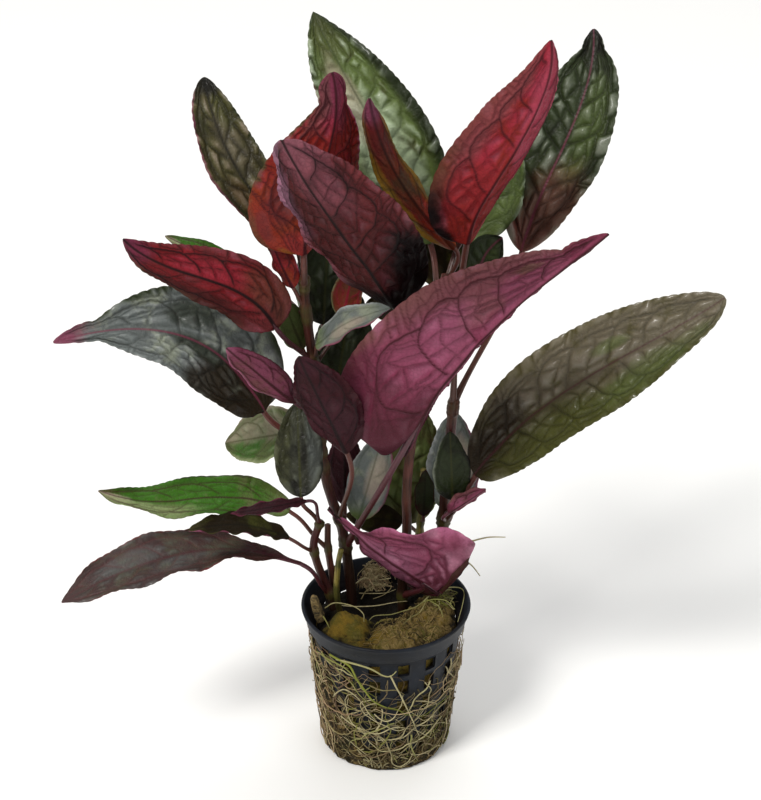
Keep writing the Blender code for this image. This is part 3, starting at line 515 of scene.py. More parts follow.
class Graph:
    """The nodes of one material, built up from expressions"""

    def __init__(self, name):
        self.material = bpy.data.materials.new(name)
        self.material.use_nodes = True
        self.tree = self.material.node_tree
        self.tree.nodes.clear()

    def node(self, kind, settings=None, sockets=None, output=0):
        """Add a node, set its settings and then its sockets, and give one of its outputs"""
        made = self.tree.nodes.new(kind)
        for key, setting in (settings or {}).items():
            setattr(made, key, setting)
        for key, value in (sockets or {}).items():
            self.feed(made.inputs[key], value)
        return Value(self, made.outputs[output] if made.outputs else None)

    def feed(self, socket, value):
        """Link a value to a socket, or set a plain number or colour on it"""
        if isinstance(value, Value):
            self.tree.links.new(value.socket, socket)
        elif socket.type == "RGBA" and len(value) == 3:
            socket.default_value = (*value, 1.0)
        else:
            socket.default_value = value

    def math(self, operation, first, second=None):
        """One Math node on numbers or values"""
        sockets = {0: first} if second is None else {0: first, 1: second}
        return self.node("ShaderNodeMath", {"operation": operation}, sockets)

    def step(self, value, low, high):
        """Smooth rise from 0 where the value is low to 1 where it is high"""
        return self.node("ShaderNodeMapRange", {"interpolation_type": "SMOOTHSTEP"},
                         {"Value": value, "From Min": low, "From Max": high})

    def mix(self, share, first, second):
        """The first colour, turning into the second as the share goes from 0 to 1"""
        return self.node("ShaderNodeMix", {"data_type": "RGBA", "clamp_factor": True},
                         {0: share, 6: first, 7: second}, output=2)

    def place(self):
        """The place on the piece, in metres"""
        return self.node("ShaderNodeTexCoord", output="Object")

    def stretched_noise(self, *scales):
        """Cloudy noise from 0 to 1 with so many waves to a metre along X, Y and Z"""
        place = self.node("ShaderNodeVectorMath", {"operation": "MULTIPLY"},
                          {0: self.place(), 1: scales})
        return self.noise(1.0, 3.0, 0.6, place)

    def kept(self, label):
        """The three numbers of a vector kept at each point of the mesh"""
        vector = self.node("ShaderNodeAttribute", {"attribute_name": label}, output="Vector")
        parts = self.tree.nodes.new("ShaderNodeSeparateXYZ")
        self.feed(parts.inputs[0], vector)
        return [Value(self, parts.outputs[axis]) for axis in range(3)]

    def noise(self, scale, detail=2.0, roughness=0.5, vector=None):
        """Cloudy noise from 0 to 1, scale waves to a metre"""
        return self.node("ShaderNodeTexNoise", None, {
            "Vector": vector or self.place(), "Scale": scale, "Detail": detail,
            "Roughness": roughness})

    def cells(self, scale):
        """Distance from the edge between random cells, scale cells to a metre"""
        return self.node("ShaderNodeTexVoronoi", {"feature": "DISTANCE_TO_EDGE"},
                         {"Vector": self.place(), "Scale": scale})

    def bump(self, height, distance, strength=1.0):
        """The normal of a surface raised by the height times a distance in metres"""
        return self.node("ShaderNodeBump", None,
                         {"Height": height, "Distance": distance, "Strength": strength})

    def surface(self, color, roughness, normal=None, glow=0.0, glow_color=(1, 1, 1), **sockets):
        """Finish the material: a Principled surface, with a share of light let through"""
        inputs = {"Base Color": color, "Roughness": roughness}
        inputs.update({key.replace("_", " "): value for key, value in sockets.items()})
        if normal is not None:
            inputs["Normal"] = normal
        shader = self.node("ShaderNodeBsdfPrincipled", None, inputs)
        if glow:
            thin = self.node("ShaderNodeBsdfTranslucent", None, {"Color": glow_color})
            shader = self.node("ShaderNodeMixShader", None, {0: glow, 1: shader, 2: thin})
        self.node("ShaderNodeOutputMaterial", None, {"Surface": shader})
        return self.material


def screen(red, green, blue):
    """A screen colour, 0 to 255, as the linear light values that finishes use: the standard
    screen curve, which is straight near black and a power of 2.4 above"""
    share = np.array((red, green, blue)) / 255.0
    light = np.where(share <= 0.04045, share / 12.92, ((share + 0.055) / 1.055)**2.4)
    return tuple(float(value) for value in light)


def tint(name, description, red, green, blue):
    """A colour that a user can change, given as a screen colour"""
    return bpy.props.FloatVectorProperty(name=name, description=description, subtype="COLOR",
                                         size=3, min=0.0, max=1.0, default=screen(red, green, blue))


def length(name, description, millimetres):
    """A length that a user can change, kept in metres"""
    return bpy.props.FloatProperty(name=name, description=description, unit="LENGTH", min=0.0,
                                   default=millimetres * MM, precision=5)


class Look(NamedTuple):
    """The finishes and the fine relief of one leaf.

    relief scales the height of the blisters and coarse their length across the blade.
    wave_height is how far the margin waves up and down and waves how often it does so
    along the blade.
    """
    upper: str
    under: str
    stalk: str = "brown_stalk"
    relief: float = 0.7
    coarse: float = 1.0
    wave_height: float = 0.6
    waves: float = 2.5


LOOKS = {
    "crown_back_leaf": Look("crown_green", "mauve_side", relief=0.95, coarse=1.6),
    "upper_left_green_leaf": Look("blotched_green", "mauve_side", relief=1.05, coarse=1.4),
    "crown_red_leaf": Look("deep_upper", "flame_side"),
    "crown_maroon_leaf": Look("deep_upper", "maroon_side", relief=1.1, wave_height=0.9, waves=3.5),
    "crown_narrow_leaf": Look("deep_upper", "folded_side", relief=0.4),
    "upper_right_red_leaf": Look("deep_upper", "crimson_side", relief=0.75),
    "upper_right_green_leaf": Look("waffled_green", "mauve_side", relief=1.25, coarse=1.4),
    "upper_back_pale_leaf": Look("pale_green_side", "mauve_side"),
    "left_pink_leaf": Look("deep_upper", "flame_side", relief=0.3),
    "right_curled_leaf": Look("waffled_green", "mauve_side", relief=1.2),
    "front_purple_leaf": Look("deep_upper", "magenta_side", "wine_stalk", relief=0.9, wave_height=0.9),
    "right_olive_leaf": Look("olive_upper", "mauve_side", relief=0.8, coarse=1.2),
    "left_red_leaf": Look("deep_upper", "ruby_side", "wine_stalk"),
    "left_silver_leaf": Look("silver_upper", "mauve_side", relief=1.0, coarse=0.85),
    "low_back_green_leaf": Look("lime_side", "mauve_side", relief=0.4),
    "left_back_green_leaf": Look("fresh_green_side", "mauve_side", relief=0.3),
    "left_small_purple_leaf": Look("deep_upper", "mauve_side", "wine_stalk", relief=0.4),
    "centre_purple_leaf": Look("deep_upper", "wine_side", relief=0.8),
    "centre_silver_leaf": Look("pale_upper", "mauve_side", relief=0.4),
    "left_olive_leaf": Look("yellow_olive", "mauve_side", relief=0.4),
    "centre_orange_leaf": Look("deep_upper", "orange_side", relief=0.3),
    "centre_dark_leaf": Look("dark_upper", "wine_side", relief=0.8),
    "centre_moss_leaf": Look("dark_olive_upper", "wine_side"),
    "upper_centre_olive_leaf": Look("dark_olive_upper", "wine_side", relief=0.9),
    "middle_back_leaf": Look("dark_upper", "wine_side", relief=0.8),
    "hanging_green_leaf": Look("slate_upper", "mauve_side", relief=0.9),
    "low_left_dark_leaf": Look("dark_wine_upper", "wine_side", "wine_stalk", relief=0.4,
                               wave_height=0.55, waves=4.0),
    "low_left_green_leaf": Look("fresh_green_side", "mauve_side", wave_height=1.0, waves=3.0),
    "low_left_olive_leaf": Look("dark_olive_upper", "mauve_side", relief=0.6,
                                wave_height=0.7, waves=4.5),
    "low_left_bronze_leaf": Look("bronze_upper", "mauve_side", "wine_stalk", relief=0.6,
                                 wave_height=1.0, waves=4.0),
    "low_front_purple_leaf": Look("deep_upper", "pink_side", "wine_stalk", relief=0.9,
                                  wave_height=1.8, waves=3.5),
    "small_rolled_leaf": Look("deep_upper", "magenta_side", "wine_stalk", relief=0.2),
    "right_hanging_leaf": Look("dark_upper", "mauve_side", relief=0.6),
    "right_back_pale_leaf": Look("pale_upper", "mauve_side"),
    "centre_pale_leaf": Look("pale_upper", "mauve_side", relief=0.5),
    "centre_back_olive_leaf": Look("yellow_olive", "mauve_side", relief=0.9),
    "centre_back_dark_leaf": Look("deep_upper", "wine_side", relief=0.3),
    "low_centre_dark_leaf": Look("dark_olive_upper", "wine_side", relief=0.6),
    "centre_maroon_leaf": Look("deep_upper", "wine_side", relief=0.3),
}


# Some patches are the leaf's own colour; others are painted shade or painted sheen, as noted at the
# finishes
class Patch(NamedTuple):
    """A cloudy patch of another colour: its middle along and across the blade, its reach
    both ways and its strength. Across is -1 at the left margin and 1 at the right one"""
    color: str
    along: float
    across: float
    reach_along: float
    reach_across: float
    strength: float = 1.0


class Finish(NamedTuple):
    """How one side of a blade is coloured, with colours by their names in IvyColors.

    base turns cloudily into mottle, dome is painted on the blister tops as a highlight,
    vein lies in the veins and is also painted into the creases as shade, rim along the left
    and right margins, foot where the blade starts and tip where it ends. The shares say
    how much of the mottle, the dome highlight, the veins and the fine veins show, and the
    crease share how dark the painted shade in the hollows is. rib is the midrib where it
    differs from the veins, and glow the light that comes through.
    """
    base: str
    mottle: str
    dome: str
    vein: str
    rim: tuple
    foot: str
    tip: str
    mottle_share: float = 0.5
    dome_sheen_share: float = 0.5
    vein_share: float = 0.95
    net_share: float = 0.75
    crease_shade: float = 0.3
    rim_width: float = 0.2
    roughness: float = 0.5
    shine: float = 0.14
    coat: float = 0.25
    glow: str = "crimson"
    rib: str = ""
    patches: tuple = ()


# Colours: base, mottle, dome (painted highlight on the blisters), vein (also painted
# shade in the creases), rim, foot and tip. Then the shares of the mottle, the dome
# highlight, the veins and the fine veins, and the painted crease shade
GLOSSY = {"shine": 0.2, "coat": 0.8, "glow": "leaf_green"}
FINISHES = {
    "mauve_side": Finish(
        "mauve", "olive_mauve", "pink", "wine", ("deep_mauve", "pink"), "deep_mauve", "pink", 0.5,
        0.35),
    "magenta_side": Finish(
        "mauve", "plum", "pink", "wine", ("plum", "olive_mauve"), "deep_mauve", "plum", 0.35, 0.5, 0.95,
        0.6, 0.2, rim_width=0.3, patches=(
            # The deep mauve patches are painted shade, on the upper margin and on the lobed foot
            Patch("olive_mauve", 0.55, 0.8, 0.3, 0.35, 0.7),
            Patch("deep_mauve", 0.6, 0.6, 0.35, 0.6, 0.4), Patch("olive", 0.72, 0.55, 0.07, 0.12, 0.5),
            Patch("olive_mauve", 0.5, 0.3, 0.1, 0.2, 0.5),
            Patch("deep_mauve", 0.02, 0.5, 0.2, 0.8, 0.9), Patch("pink", 0.35, 0.45, 0.15, 0.3, 0.25),
            Patch("plum", 0.2, 0.5, 0.15, 0.5, 0.4))),
    "pink_side": Finish(
        "mauve", "plum", "rose", "wine", ("pink", "deep_mauve"), "deep_mauve", "pink", 0.35, 0.55, 0.85,
        0.45, 0.15, patches=(
            Patch("lavender", 0.5, 0.3, 0.5, 0.7, 0.3),)),
    "crimson_side": Finish(
        "crimson", "brick", "rose_red", "wine", ("rose_red", "brick"), "brick", "crimson", 0.4, 0.5,
        0.85, 0.45, 0.15, patches=(
            # The rose red patch is a painted highlight, and the black wine patch at the foot is painted
            # shade
            Patch("rose_red", 0.75, -0.4, 0.4, 0.8, 0.45),
            Patch("olive_mauve", 0.65, 0.9, 0.5, 0.5, 0.6), Patch("brown", 0.2, 1.0, 0.25, 0.35, 0.7),
            Patch("brick", 0.2, 0.0, 0.25, 0.9, 0.6), Patch("black_wine", 0.02, 1.0, 0.22, 0.6, 1.0))),
    "flame_side": Finish(
        "brick", "crimson", "rose_red", "wine", ("pink", "olive"), "brick", "plum", 0.5, 0.5, 0.95,
        0.85, 0.35, rim_width=0.1, patches=(
            Patch("plum", 0.92, 0.1, 0.25, 0.9, 0.8), Patch("olive_mauve", 0.85, 0.6, 0.2, 0.5, 0.7),
            Patch("orange", 0.15, 0.35, 0.35, 0.9, 0.8), Patch("maroon", 0.28, 0.45, 0.14, 0.35, 0.8),
            Patch("crimson", 0.02, 0.1, 0.14, 0.5, 0.5), Patch("brick", 0.03, 0.8, 0.25, 0.4, 0.6),
            Patch("maroon", 0.14, 0.75, 0.07, 0.16, 0.6), Patch("brown", 0.02, 0.98, 0.2, 0.14, 0.7),
            Patch("gold", 0.0, 0.6, 0.05, 0.3, 0.4))),
    "orange_side": Finish(
        "orange", "olive", "gold", "crimson", ("gold", "pale_green"), "moss", "olive", 0.9, 0.6),
    "folded_side": Finish(
        "brick", "brown", "orange", "black_wine", ("gold", "gold"), "orange", "mauve", 0.7, 0.5, 0.7,
        0.6, rim_width=0.6, patches=(
            Patch("mauve", 0.97, 0.0, 0.14, 1.0, 1.0), Patch("maroon", 0.75, 0.0, 0.14, 1.0, 0.7),
            Patch("gold", 0.35, 0.9, 0.45, 0.45, 0.7), Patch("brown", 0.5, 0.0, 0.25, 0.6, 0.5))),
    "maroon_side": Finish(
        "maroon", "dark_maroon", "dusky_mauve", "black_wine", ("maroon", "dusky_mauve"), "black_wine",
        "dusky_mauve", 0.3, 0.55, 0.95, 0.75, 0.55, patches=(
            # Dusky mauve at the tip and in its patch, and the lavender patch, are painted sheen and
            # painted highlight on the rolled tip; the black wine patches are painted shade low on the
            # blade and at its foot
            Patch("dusky_mauve", 0.85, -0.2, 0.3, 0.7, 0.6),
            Patch("lavender", 0.8, 0.85, 0.35, 0.3, 0.7),
            Patch("dark_maroon", 0.4, 0.25, 0.4, 0.65, 0.6),
            Patch("black_wine", 0.12, -0.75, 0.34, 0.75, 1.0),
            Patch("black_wine", 0.02, 0.2, 0.1, 0.9, 1.0))),
    "ruby_side": Finish(
        "ruby", "maroon", "rose_red", "black_wine", ("maroon", "brown"), "maroon", "plum", 0.4, 0.4,
        0.95, 0.75, 0.35, rim_width=0.3, patches=(
            Patch("dark_maroon", 0.4, 0.75, 0.5, 0.4, 0.7), Patch("plum", 0.93, 0.0, 0.15, 1.0, 0.7),
            Patch("brown", 0.12, -0.5, 0.2, 0.6, 0.5), Patch("crimson", 0.5, -0.3, 0.25, 0.4, 0.5))),
    "wine_side": Finish(
        "dark_mauve", "wine", "deep_mauve", "black_wine", ("wine", "dark_mauve"), "wine", "dark_mauve",
        0.5, 0.4, 0.8, 0.5),
    "deep_upper": Finish(
        "deep_green", "wine", "olive", "black_green", ("wine", "wine"), "wine", "wine", 0.5, 0.3, 0.6,
        0.3),
    "crown_green": Finish(
        "leaf_green", "moss", "mint", "deep_green", ("deep_green", "dark_green"), "leaf_green",
        "deep_green", 0.3, 0.65, 0.4, 0.2, 0.3, rim_width=0.35, roughness=0.45, shine=0.18, coat=0.45,
        glow="leaf_green", patches=(
            # The mint and rosy grey patches are painted highlight and painted reflection on the lit
            # middle; the dark green patch along the right margin is painted shade
            Patch("mint", 0.35, -0.1, 0.3, 0.7, 0.6), Patch("rosy_grey", 0.62, -0.3, 0.22, 0.4, 0.55),
            Patch("dark_green", 0.6, 1.0, 0.6, 0.3, 0.9), Patch("moss", 0.9, 0.0, 0.15, 0.9, 0.6),
            Patch("mauve", 0.55, -1.1, 0.2, 0.25, 0.8))),
    "pale_green_side": Finish(
        "leaf_green", "deep_green", "mint", "deep_green", ("mint", "deep_green"), "leaf_green",
        "leaf_green", 0.4, 0.7, 0.5, 0.5, 0.5, roughness=0.45, **GLOSSY),
    "blotched_green": Finish(
        "olive", "moss", "rosy_grey", "black_green", ("mauve", "deep_green"), "moss", "black_green",
        0.5, 0.9, 0.5, 0.2, 0.7, rim_width=0.15, roughness=0.4, shine=0.2, coat=0.5, glow="leaf_green",
        patches=(
            Patch("taupe", 0.6, 0.2, 0.25, 0.5, 0.6), Patch("moss", 0.8, 0.5, 0.15, 0.5, 0.7),
            Patch("brown", 0.3, -0.4, 0.14, 0.4, 0.5), Patch("black_green", 1.0, 0.3, 0.12, 1.0, 0.9))),
    "waffled_green": Finish(
        "deep_green", "dark_green", "grey_green", "black_green", ("deep_green", "deep_green"), "maroon",
        "black_green", 0.4, 0.65, 0.5, 0.25, 0.5, roughness=0.42, shine=0.18, coat=0.45,
        glow="leaf_green", rib="plum", patches=(
            Patch("brown", 0.22, 0.4, 0.25, 0.9, 0.8), Patch("brown", 0.05, 0.2, 0.2, 0.9, 0.5),
            Patch("leaf_green", 0.6, 0.4, 0.3, 0.4, 0.4),
            Patch("olive_mauve", 0.15, 0.4, 0.25, 0.9, 0.35))),
    "olive_upper": Finish(
        "taupe", "olive", "warm_grey", "black_green", ("olive", "moss"), "dark_olive", "taupe", 0.4,
        0.55, 0.5, 0.2, 0.3, rib="deep_mauve", roughness=0.45, **GLOSSY, patches=(
            Patch("moss", 0.4, 0.85, 0.6, 0.6, 1.0), Patch("leaf_green", 0.7, 0.6, 0.25, 0.4, 0.4),
            Patch("leaf_green", 0.62, -0.35, 0.08, 0.16, 0.5),
            Patch("dark_olive", 0.06, 0.0, 0.26, 1.2, 0.9), Patch("moss", 0.3, 0.5, 0.3, 0.6, 0.8))),
    "lime_side": Finish(
        "leaf_green", "fresh_green", "pale_green", "moss", ("pale_green", "rosy_grey"), "leaf_green",
        "moss", 0.5, 0.9, 0.6, 0.4, 0.1, roughness=0.45, shine=0.3, coat=0.8, glow="leaf_green",
        patches=(
            Patch("rosy_grey", 0.6, 0.3, 0.5, 0.6, 0.5),)),
    "yellow_olive": Finish(
        "leaf_green", "olive", "pale_green", "dark_olive", ("pale_green", "moss"), "olive", "olive",
        0.5, 0.4, 0.6, 0.4, 0.35, glow="leaf_green"),
    "dark_olive_upper": Finish(
        "dark_olive", "moss", "olive", "black_green", ("olive", "dark_olive"), "dark_olive", "olive",
        0.4, 0.3, 0.5, 0.3, 0.4, shine=0.08, glow="leaf_green"),
    "dark_upper": Finish(
        "deep_green", "black_green", "grey_green", "black_green", ("grey_green", "black_green"),
        "black_green", "dark_green", 0.5, 0.5, 0.5, 0.3, 0.3, rib="moss", roughness=0.42, **GLOSSY),
    "slate_upper": Finish(
        "slate", "black_green", "grey_green", "black_green", ("slate", "black_green"), "black_green",
        "dark_green", 0.6, 0.5, 0.4, 0.1, 0.6, rib="moss", roughness=0.4, **GLOSSY, patches=(
            # The silver patch is painted sheen
            Patch("silver", 0.45, 0.6, 0.4, 0.35, 0.5), Patch("black_green", 0.5, 0.2, 0.3, 0.12, 0.8),
            Patch("moss", 0.5, -0.7, 0.5, 0.4, 0.5))),
    "dark_wine_upper": Finish(
        "dark_mauve", "wine", "maroon", "black_wine", ("plum", "plum"), "wine", "plum", 0.5, 0.4, 0.6,
        0.5),
    "silver_upper": Finish(
        "silver", "grey_green", "pale_silver", "black_green", ("silver", "deep_green"), "dark_olive",
        "mauve", 0.35, 0.45, 0.6, 0.35, 0.35, rib="plum", roughness=0.42, **GLOSSY, patches=(
            Patch("dark_green", 0.45, 0.5, 0.12, 0.3, 0.7),
            Patch("dark_green", 0.3, -0.1, 0.3, 0.25, 0.8),
            Patch("dark_olive", 0.0, -0.3, 0.3, 1.2, 1.0),
            Patch("dark_olive", 0.15, -0.7, 0.3, 0.6, 0.9), Patch("mauve", 1.0, 0.0, 0.09, 1.2, 1.0))),
    "pale_upper": Finish(
        "silver", "grey_green", "pale_silver", "deep_green", ("pale_silver", "mauve"), "leaf_green",
        "silver", 0.4, 0.4, 0.4, 0.3, 0.15, roughness=0.42, **GLOSSY, patches=(
            Patch("rosy_grey", 0.5, 0.3, 0.3, 0.6, 0.6),)),
    "fresh_green_side": Finish(
        "fresh_green", "leaf_green", "pale_green", "wine", ("leaf_green", "deep_green"), "leaf_green",
        "moss", 0.3, 0.25, 0.75, 0.65, 0.15, rim_width=0.08, roughness=0.45, shine=0.2, coat=0.8,
        glow="fresh_green", patches=(
            Patch("rosy_grey", 0.97, -0.2, 0.15, 0.6, 0.6),
            Patch("pale_green", 0.78, -0.6, 0.3, 0.55, 0.7), Patch("moss", 0.15, 0.9, 0.2, 0.3, 0.5))),
    "bronze_upper": Finish(
        "bronze", "slate", "pale_silver", "maroon", ("maroon", "maroon"), "deep_mauve", "bronze", 0.55,
        0.22, 0.3, 0.15, 0.15, rib="deep_mauve", rim_width=0.06, roughness=0.44, shine=0.16, coat=0.5,
        patches=(
            # The silver patches are painted sheen
            Patch("silver", 0.7, 0.3, 0.15, 0.4, 0.35), Patch("silver", 0.45, -0.4, 0.2, 0.4, 0.3),
            Patch("dark_olive", 0.2, -0.6, 0.3, 0.5, 0.7))),
}


class IvySizes(bpy.types.PropertyGroup):
    """Fine sizes of the plant"""
    mesh_step: length("Mesh step", "Distance between the points of a blade", 0.38)
    blade_thickness: length("Blade thickness", "Thickness of a blade between its veins", 0.4)
    tooth_depth: length("Tooth depth", "Depth of the rounded teeth along a margin", 0.28)
    relief: length("Relief", "Height of the blisters on a strongly waffled blade", 1.5)
    root_count: bpy.props.IntProperty(
        name="Roots", description="Number of roots round the pot", default=590, min=1)
    fibre_count: bpy.props.IntProperty(
        name="Wool fibres", description="Number of loose fibres on the stone wool", default=260, min=1)


class IvyColors(bpy.types.PropertyGroup):
    """Colours of the plant, its pot and its wool"""
    # Each finish's dome colour is painted on the blister tops as a highlight: pink, rose, rose red,
    # pale green, mint, rosy grey, grey green, pale silver and warm grey serve mostly so, and dusky
    # mauve and lavender paint sheen on the dark crown leaf
    mauve: tint("Mauve", "Underside of the purple leaves", 134, 66, 90)
    plum: tint("Plum", "Redder clouds on the purple undersides", 120, 48, 72)
    deep_mauve: tint("Deep mauve", "Shaded parts of the purple undersides", 76, 30, 42)
    dark_mauve: tint("Dark mauve", "Underside of the darkest purple leaf", 58, 24, 32)
    dusky_mauve: tint("Dusky mauve", "Sheen of the dark crown leaf", 138, 80, 92)
    olive_mauve: tint("Olive mauve", "Brown green tinge of the undersides", 112, 70, 68)
    pink: tint("Pink", "Light margins and domes of the undersides", 172, 96, 128)
    rose: tint("Rose", "Palest parts of the lowest purple leaf", 200, 136, 160)
    rose_red: tint("Rose red", "Light domes of the red leaves", 170, 76, 98)
    crimson: tint("Crimson", "Underside of the red leaves", 152, 38, 54)
    ruby: tint("Ruby", "Underside of the left red leaf", 124, 24, 30)
    brick: tint("Brick", "Warmer parts of the red undersides", 132, 34, 26)
    orange: tint("Orange", "Young lobes near the stalks", 134, 52, 20)
    gold: tint("Gold", "Yellow margins of the young leaves", 140, 108, 36)
    maroon: tint("Maroon", "Underside of the dark crown leaf", 102, 40, 42)
    dark_maroon: tint("Dark maroon", "Browner parts of the dark crown leaf", 66, 24, 22)
    lavender: tint("Lavender", "Light rolled edge of the dark crown leaf", 158, 112, 136)
    wine: tint("Wine", "Veins of the undersides", 52, 14, 20)
    black_wine: tint("Black wine", "Darkest veins and shaded parts", 12, 5, 6)
    brown: tint("Brown", "Blotches and old margins", 84, 58, 38)
    leaf_green: tint("Leaf green", "Upper side of the green leaves", 92, 108, 56)
    deep_green: tint("Deep green", "Upper side of the dark green leaves", 46, 56, 30)
    dark_green: tint("Dark green", "Darkest margins of the green leaves", 28, 36, 14)
    moss: tint("Moss", "Warm green of old uppersides", 66, 68, 26)
    fresh_green: tint("Fresh green", "Upper side of the lowest green leaves", 56, 108, 20)
    pale_green: tint("Pale green", "Light blisters of green leaves", 150, 162, 112)
    mint: tint("Mint", "Palest blisters of the back crown leaf", 190, 206, 172)
    rosy_grey: tint("Rosy grey", "Pinkish blisters of the green leaves", 182, 164, 146)
    grey_green: tint("Grey green", "Blisters of dark leaves", 140, 146, 128)
    slate: tint("Slate", "Upper side of the hanging green leaf", 76, 78, 63)
    silver: tint("Silver", "Upper side of the silvery leaves", 104, 110, 108)
    pale_silver: tint("Pale silver", "Blisters of the silvery leaves", 160, 164, 162)
    olive: tint("Olive", "Upper side of the olive leaves", 80, 74, 42)
    dark_olive: tint("Dark olive", "Upper side of the darkest leaves", 36, 26, 9)
    taupe: tint("Taupe", "Grey brown of the olive leaves", 102, 94, 76)
    warm_grey: tint("Warm grey", "Blisters of the olive leaves", 138, 130, 114)
    bronze: tint("Bronze", "Upper side of the lowest leaf", 62, 53, 51)
    # Black green is also painted into the creases of the upper sides as shade
    black_green: tint("Black green", "Grooves of the upper sides", 16, 15, 8)
    stem_brown: tint("Stem brown", "Older stems", 72, 40, 28)
    stem_red: tint("Stem red", "Red stems", 92, 48, 40)
    stem_pale: tint("Stem pale", "Pale yellow green stems", 132, 118, 56)
    stem_foot: tint("Stem foot", "Old brown feet of the stems", 30, 18, 10)
    pot: tint("Pot", "Matt plastic of the pot", 12, 14, 19)
    pot_bloom: tint("Pot bloom", "Bluish bloom on the pot", 30, 37, 48)
    wool: tint("Wool", "Stone wool", 124, 100, 32)
    wool_green: tint("Green wool", "Greened parts of the wool", 92, 84, 28)
    wool_brown: tint("Brown wool", "Browner lump of the wool", 138, 116, 70)
    # Dark wool is also painted as shade into the low hollows of the wool
    wool_dark: tint("Dark wool", "Damp hollows of the wool", 16, 11, 5)
    wool_pale: tint("Pale wool", "Dry pale wool", 150, 130, 84)
    root: tint("Root", "Most of the roots", 103, 91, 59)
    root_pale: tint("Pale root", "Young roots", 178, 168, 128)
    root_warm: tint("Warm root", "Pinkish roots at the pot's sides", 186, 148, 118)
    root_dark: tint("Dark root", "Old roots and the mat below them", 36, 26, 12)
    root_green: tint("Green root", "Roots that have greened in the light", 118, 124, 40)
    floor: tint("Floor", "Floor under the pot", 242, 242, 240)


class IvySettings(bpy.types.PropertyGroup):
    """Everything that a user can change"""
    sizes: bpy.props.PointerProperty(type=IvySizes)
    colors: bpy.props.PointerProperty(type=IvyColors)


def colour(name):
    """One of the plant's colours by its name"""
    return tuple(getattr(bpy.context.scene.ivy.colors, name))


def blade_finish(name):
    """The finish of one side of a blade, made on its first use"""
    if name in bpy.data.materials:
        return bpy.data.materials[name]
    look = FINISHES[name]
    graph = Graph(name)
    across, along, out = graph.kept("share")
    side_vein, fine_vein, dome = graph.kept("vein")
    cloud = graph.noise(110.0, 4.0, 0.55)
    fleck = graph.noise(420.0, 4.0, 0.6)
    grain = graph.noise(1500.0, 3.0)
    uneven = cloud + (fleck - 0.5) * 0.4
    color = graph.mix(graph.step(uneven, 0.6 - 0.3 * look.mottle_share, 0.72), colour(look.base),
                      colour(look.mottle))
    blur = (uneven - 0.5) * 0.35
    left = graph.step(0.0 - across + blur, 1.0 - look.rim_width, 1.0)
    right = graph.step(across + blur, 1.0 - look.rim_width, 1.0)
    color = graph.mix(left, color, colour(look.rim[0]))
    color = graph.mix(right, color, colour(look.rim[1]))
    color = graph.mix(1.0 - graph.step(along + blur, 0.0, 0.22), color, colour(look.foot))
    color = graph.mix(graph.step(along + blur, 0.82, 1.0), color, colour(look.tip))
    # Painted highlight: the tops of the blisters take the dome colour, and the coat is glossier there
    crest = graph.step(dome + (fleck - 0.5) * 0.6 + (cloud - 0.5) * 0.4, 0.3, 1.1)
    color = graph.mix(crest * look.dome_sheen_share, color, colour(look.dome))
    # Patches of other colours: some are the leaf's own colour, some painted shade or painted sheen
    for patch in look.patches:
        offset_along = (along - patch.along) / patch.reach_along
        offset_across = (across - patch.across) / patch.reach_across
        spread = offset_along * offset_along + offset_across * offset_across + (uneven - 0.5) * 1.6
        color = graph.mix((1.0 - graph.step(spread, 0.2, 1.2)) * patch.strength, color,
                          colour(patch.color))
    # Painted shade: the hollows between the blisters darken towards the vein colour
    painted_groove_shade = (1.0 - graph.step(dome + (fleck - 0.5) * 0.3, 0.0, 0.5)) * look.crease_shade
    rib = (1.0 - graph.step(abs(out) + along * 0.25, 0.2, 0.62)) * look.vein_share
    inside = graph.step(along, 0.0, 0.05)
    lines = graph.math("MAXIMUM", side_vein, fine_vein * look.net_share)
    # The vein colour goes into the veins and into the painted shade of the hollows
    vein_and_groove_shade = graph.math("MAXIMUM", lines * look.vein_share, painted_groove_shade) * inside
    color = graph.mix(vein_and_groove_shade, color, colour(look.vein))
    color = graph.mix(rib, color, colour(look.rib or look.vein))
    cells = graph.cells(800.0)
    threads = 1.0 - graph.step(cells, 0.0, 0.14)
    color = graph.mix(threads * 0.25 * look.net_share, color, colour(look.vein))
    height = grain * 0.3 + fleck * 0.6 - threads * 0.25 - lines * 0.3
    normal = graph.bump(height, 0.0003, 0.8)
    roughness = look.roughness + (cloud - 0.5) * 0.3 + (fleck - 0.5) * 0.2
    return graph.surface(color, roughness, normal, 0.12, colour(look.glow),
                         Specular_IOR_Level=look.shine, Coat_Weight=crest * look.coat,
                         Coat_Roughness=0.22)


def stalk_finish(name):
    """The finish of a leaf stalk: streaked, and redder towards the blade"""
    if name in bpy.data.materials:
        return bpy.data.materials[name]
    start, end = STALKS[name]
    graph = Graph(name)
    along = graph.kept("share")[1]
    cloud = graph.noise(160.0, 3.0)
    grain = graph.noise(1400.0, 2.0)
    color = graph.mix(graph.step(along + (cloud - 0.5), -0.9, -0.2), colour(start), colour(end))
    color = graph.mix(graph.step(grain, 0.5, 0.75) * 0.4, color, colour("black_wine"))
    normal = graph.bump(grain, 0.0002, 0.6)
    return graph.surface(color, 0.42 + (cloud - 0.5) * 0.2, normal, 0.08, colour(end))


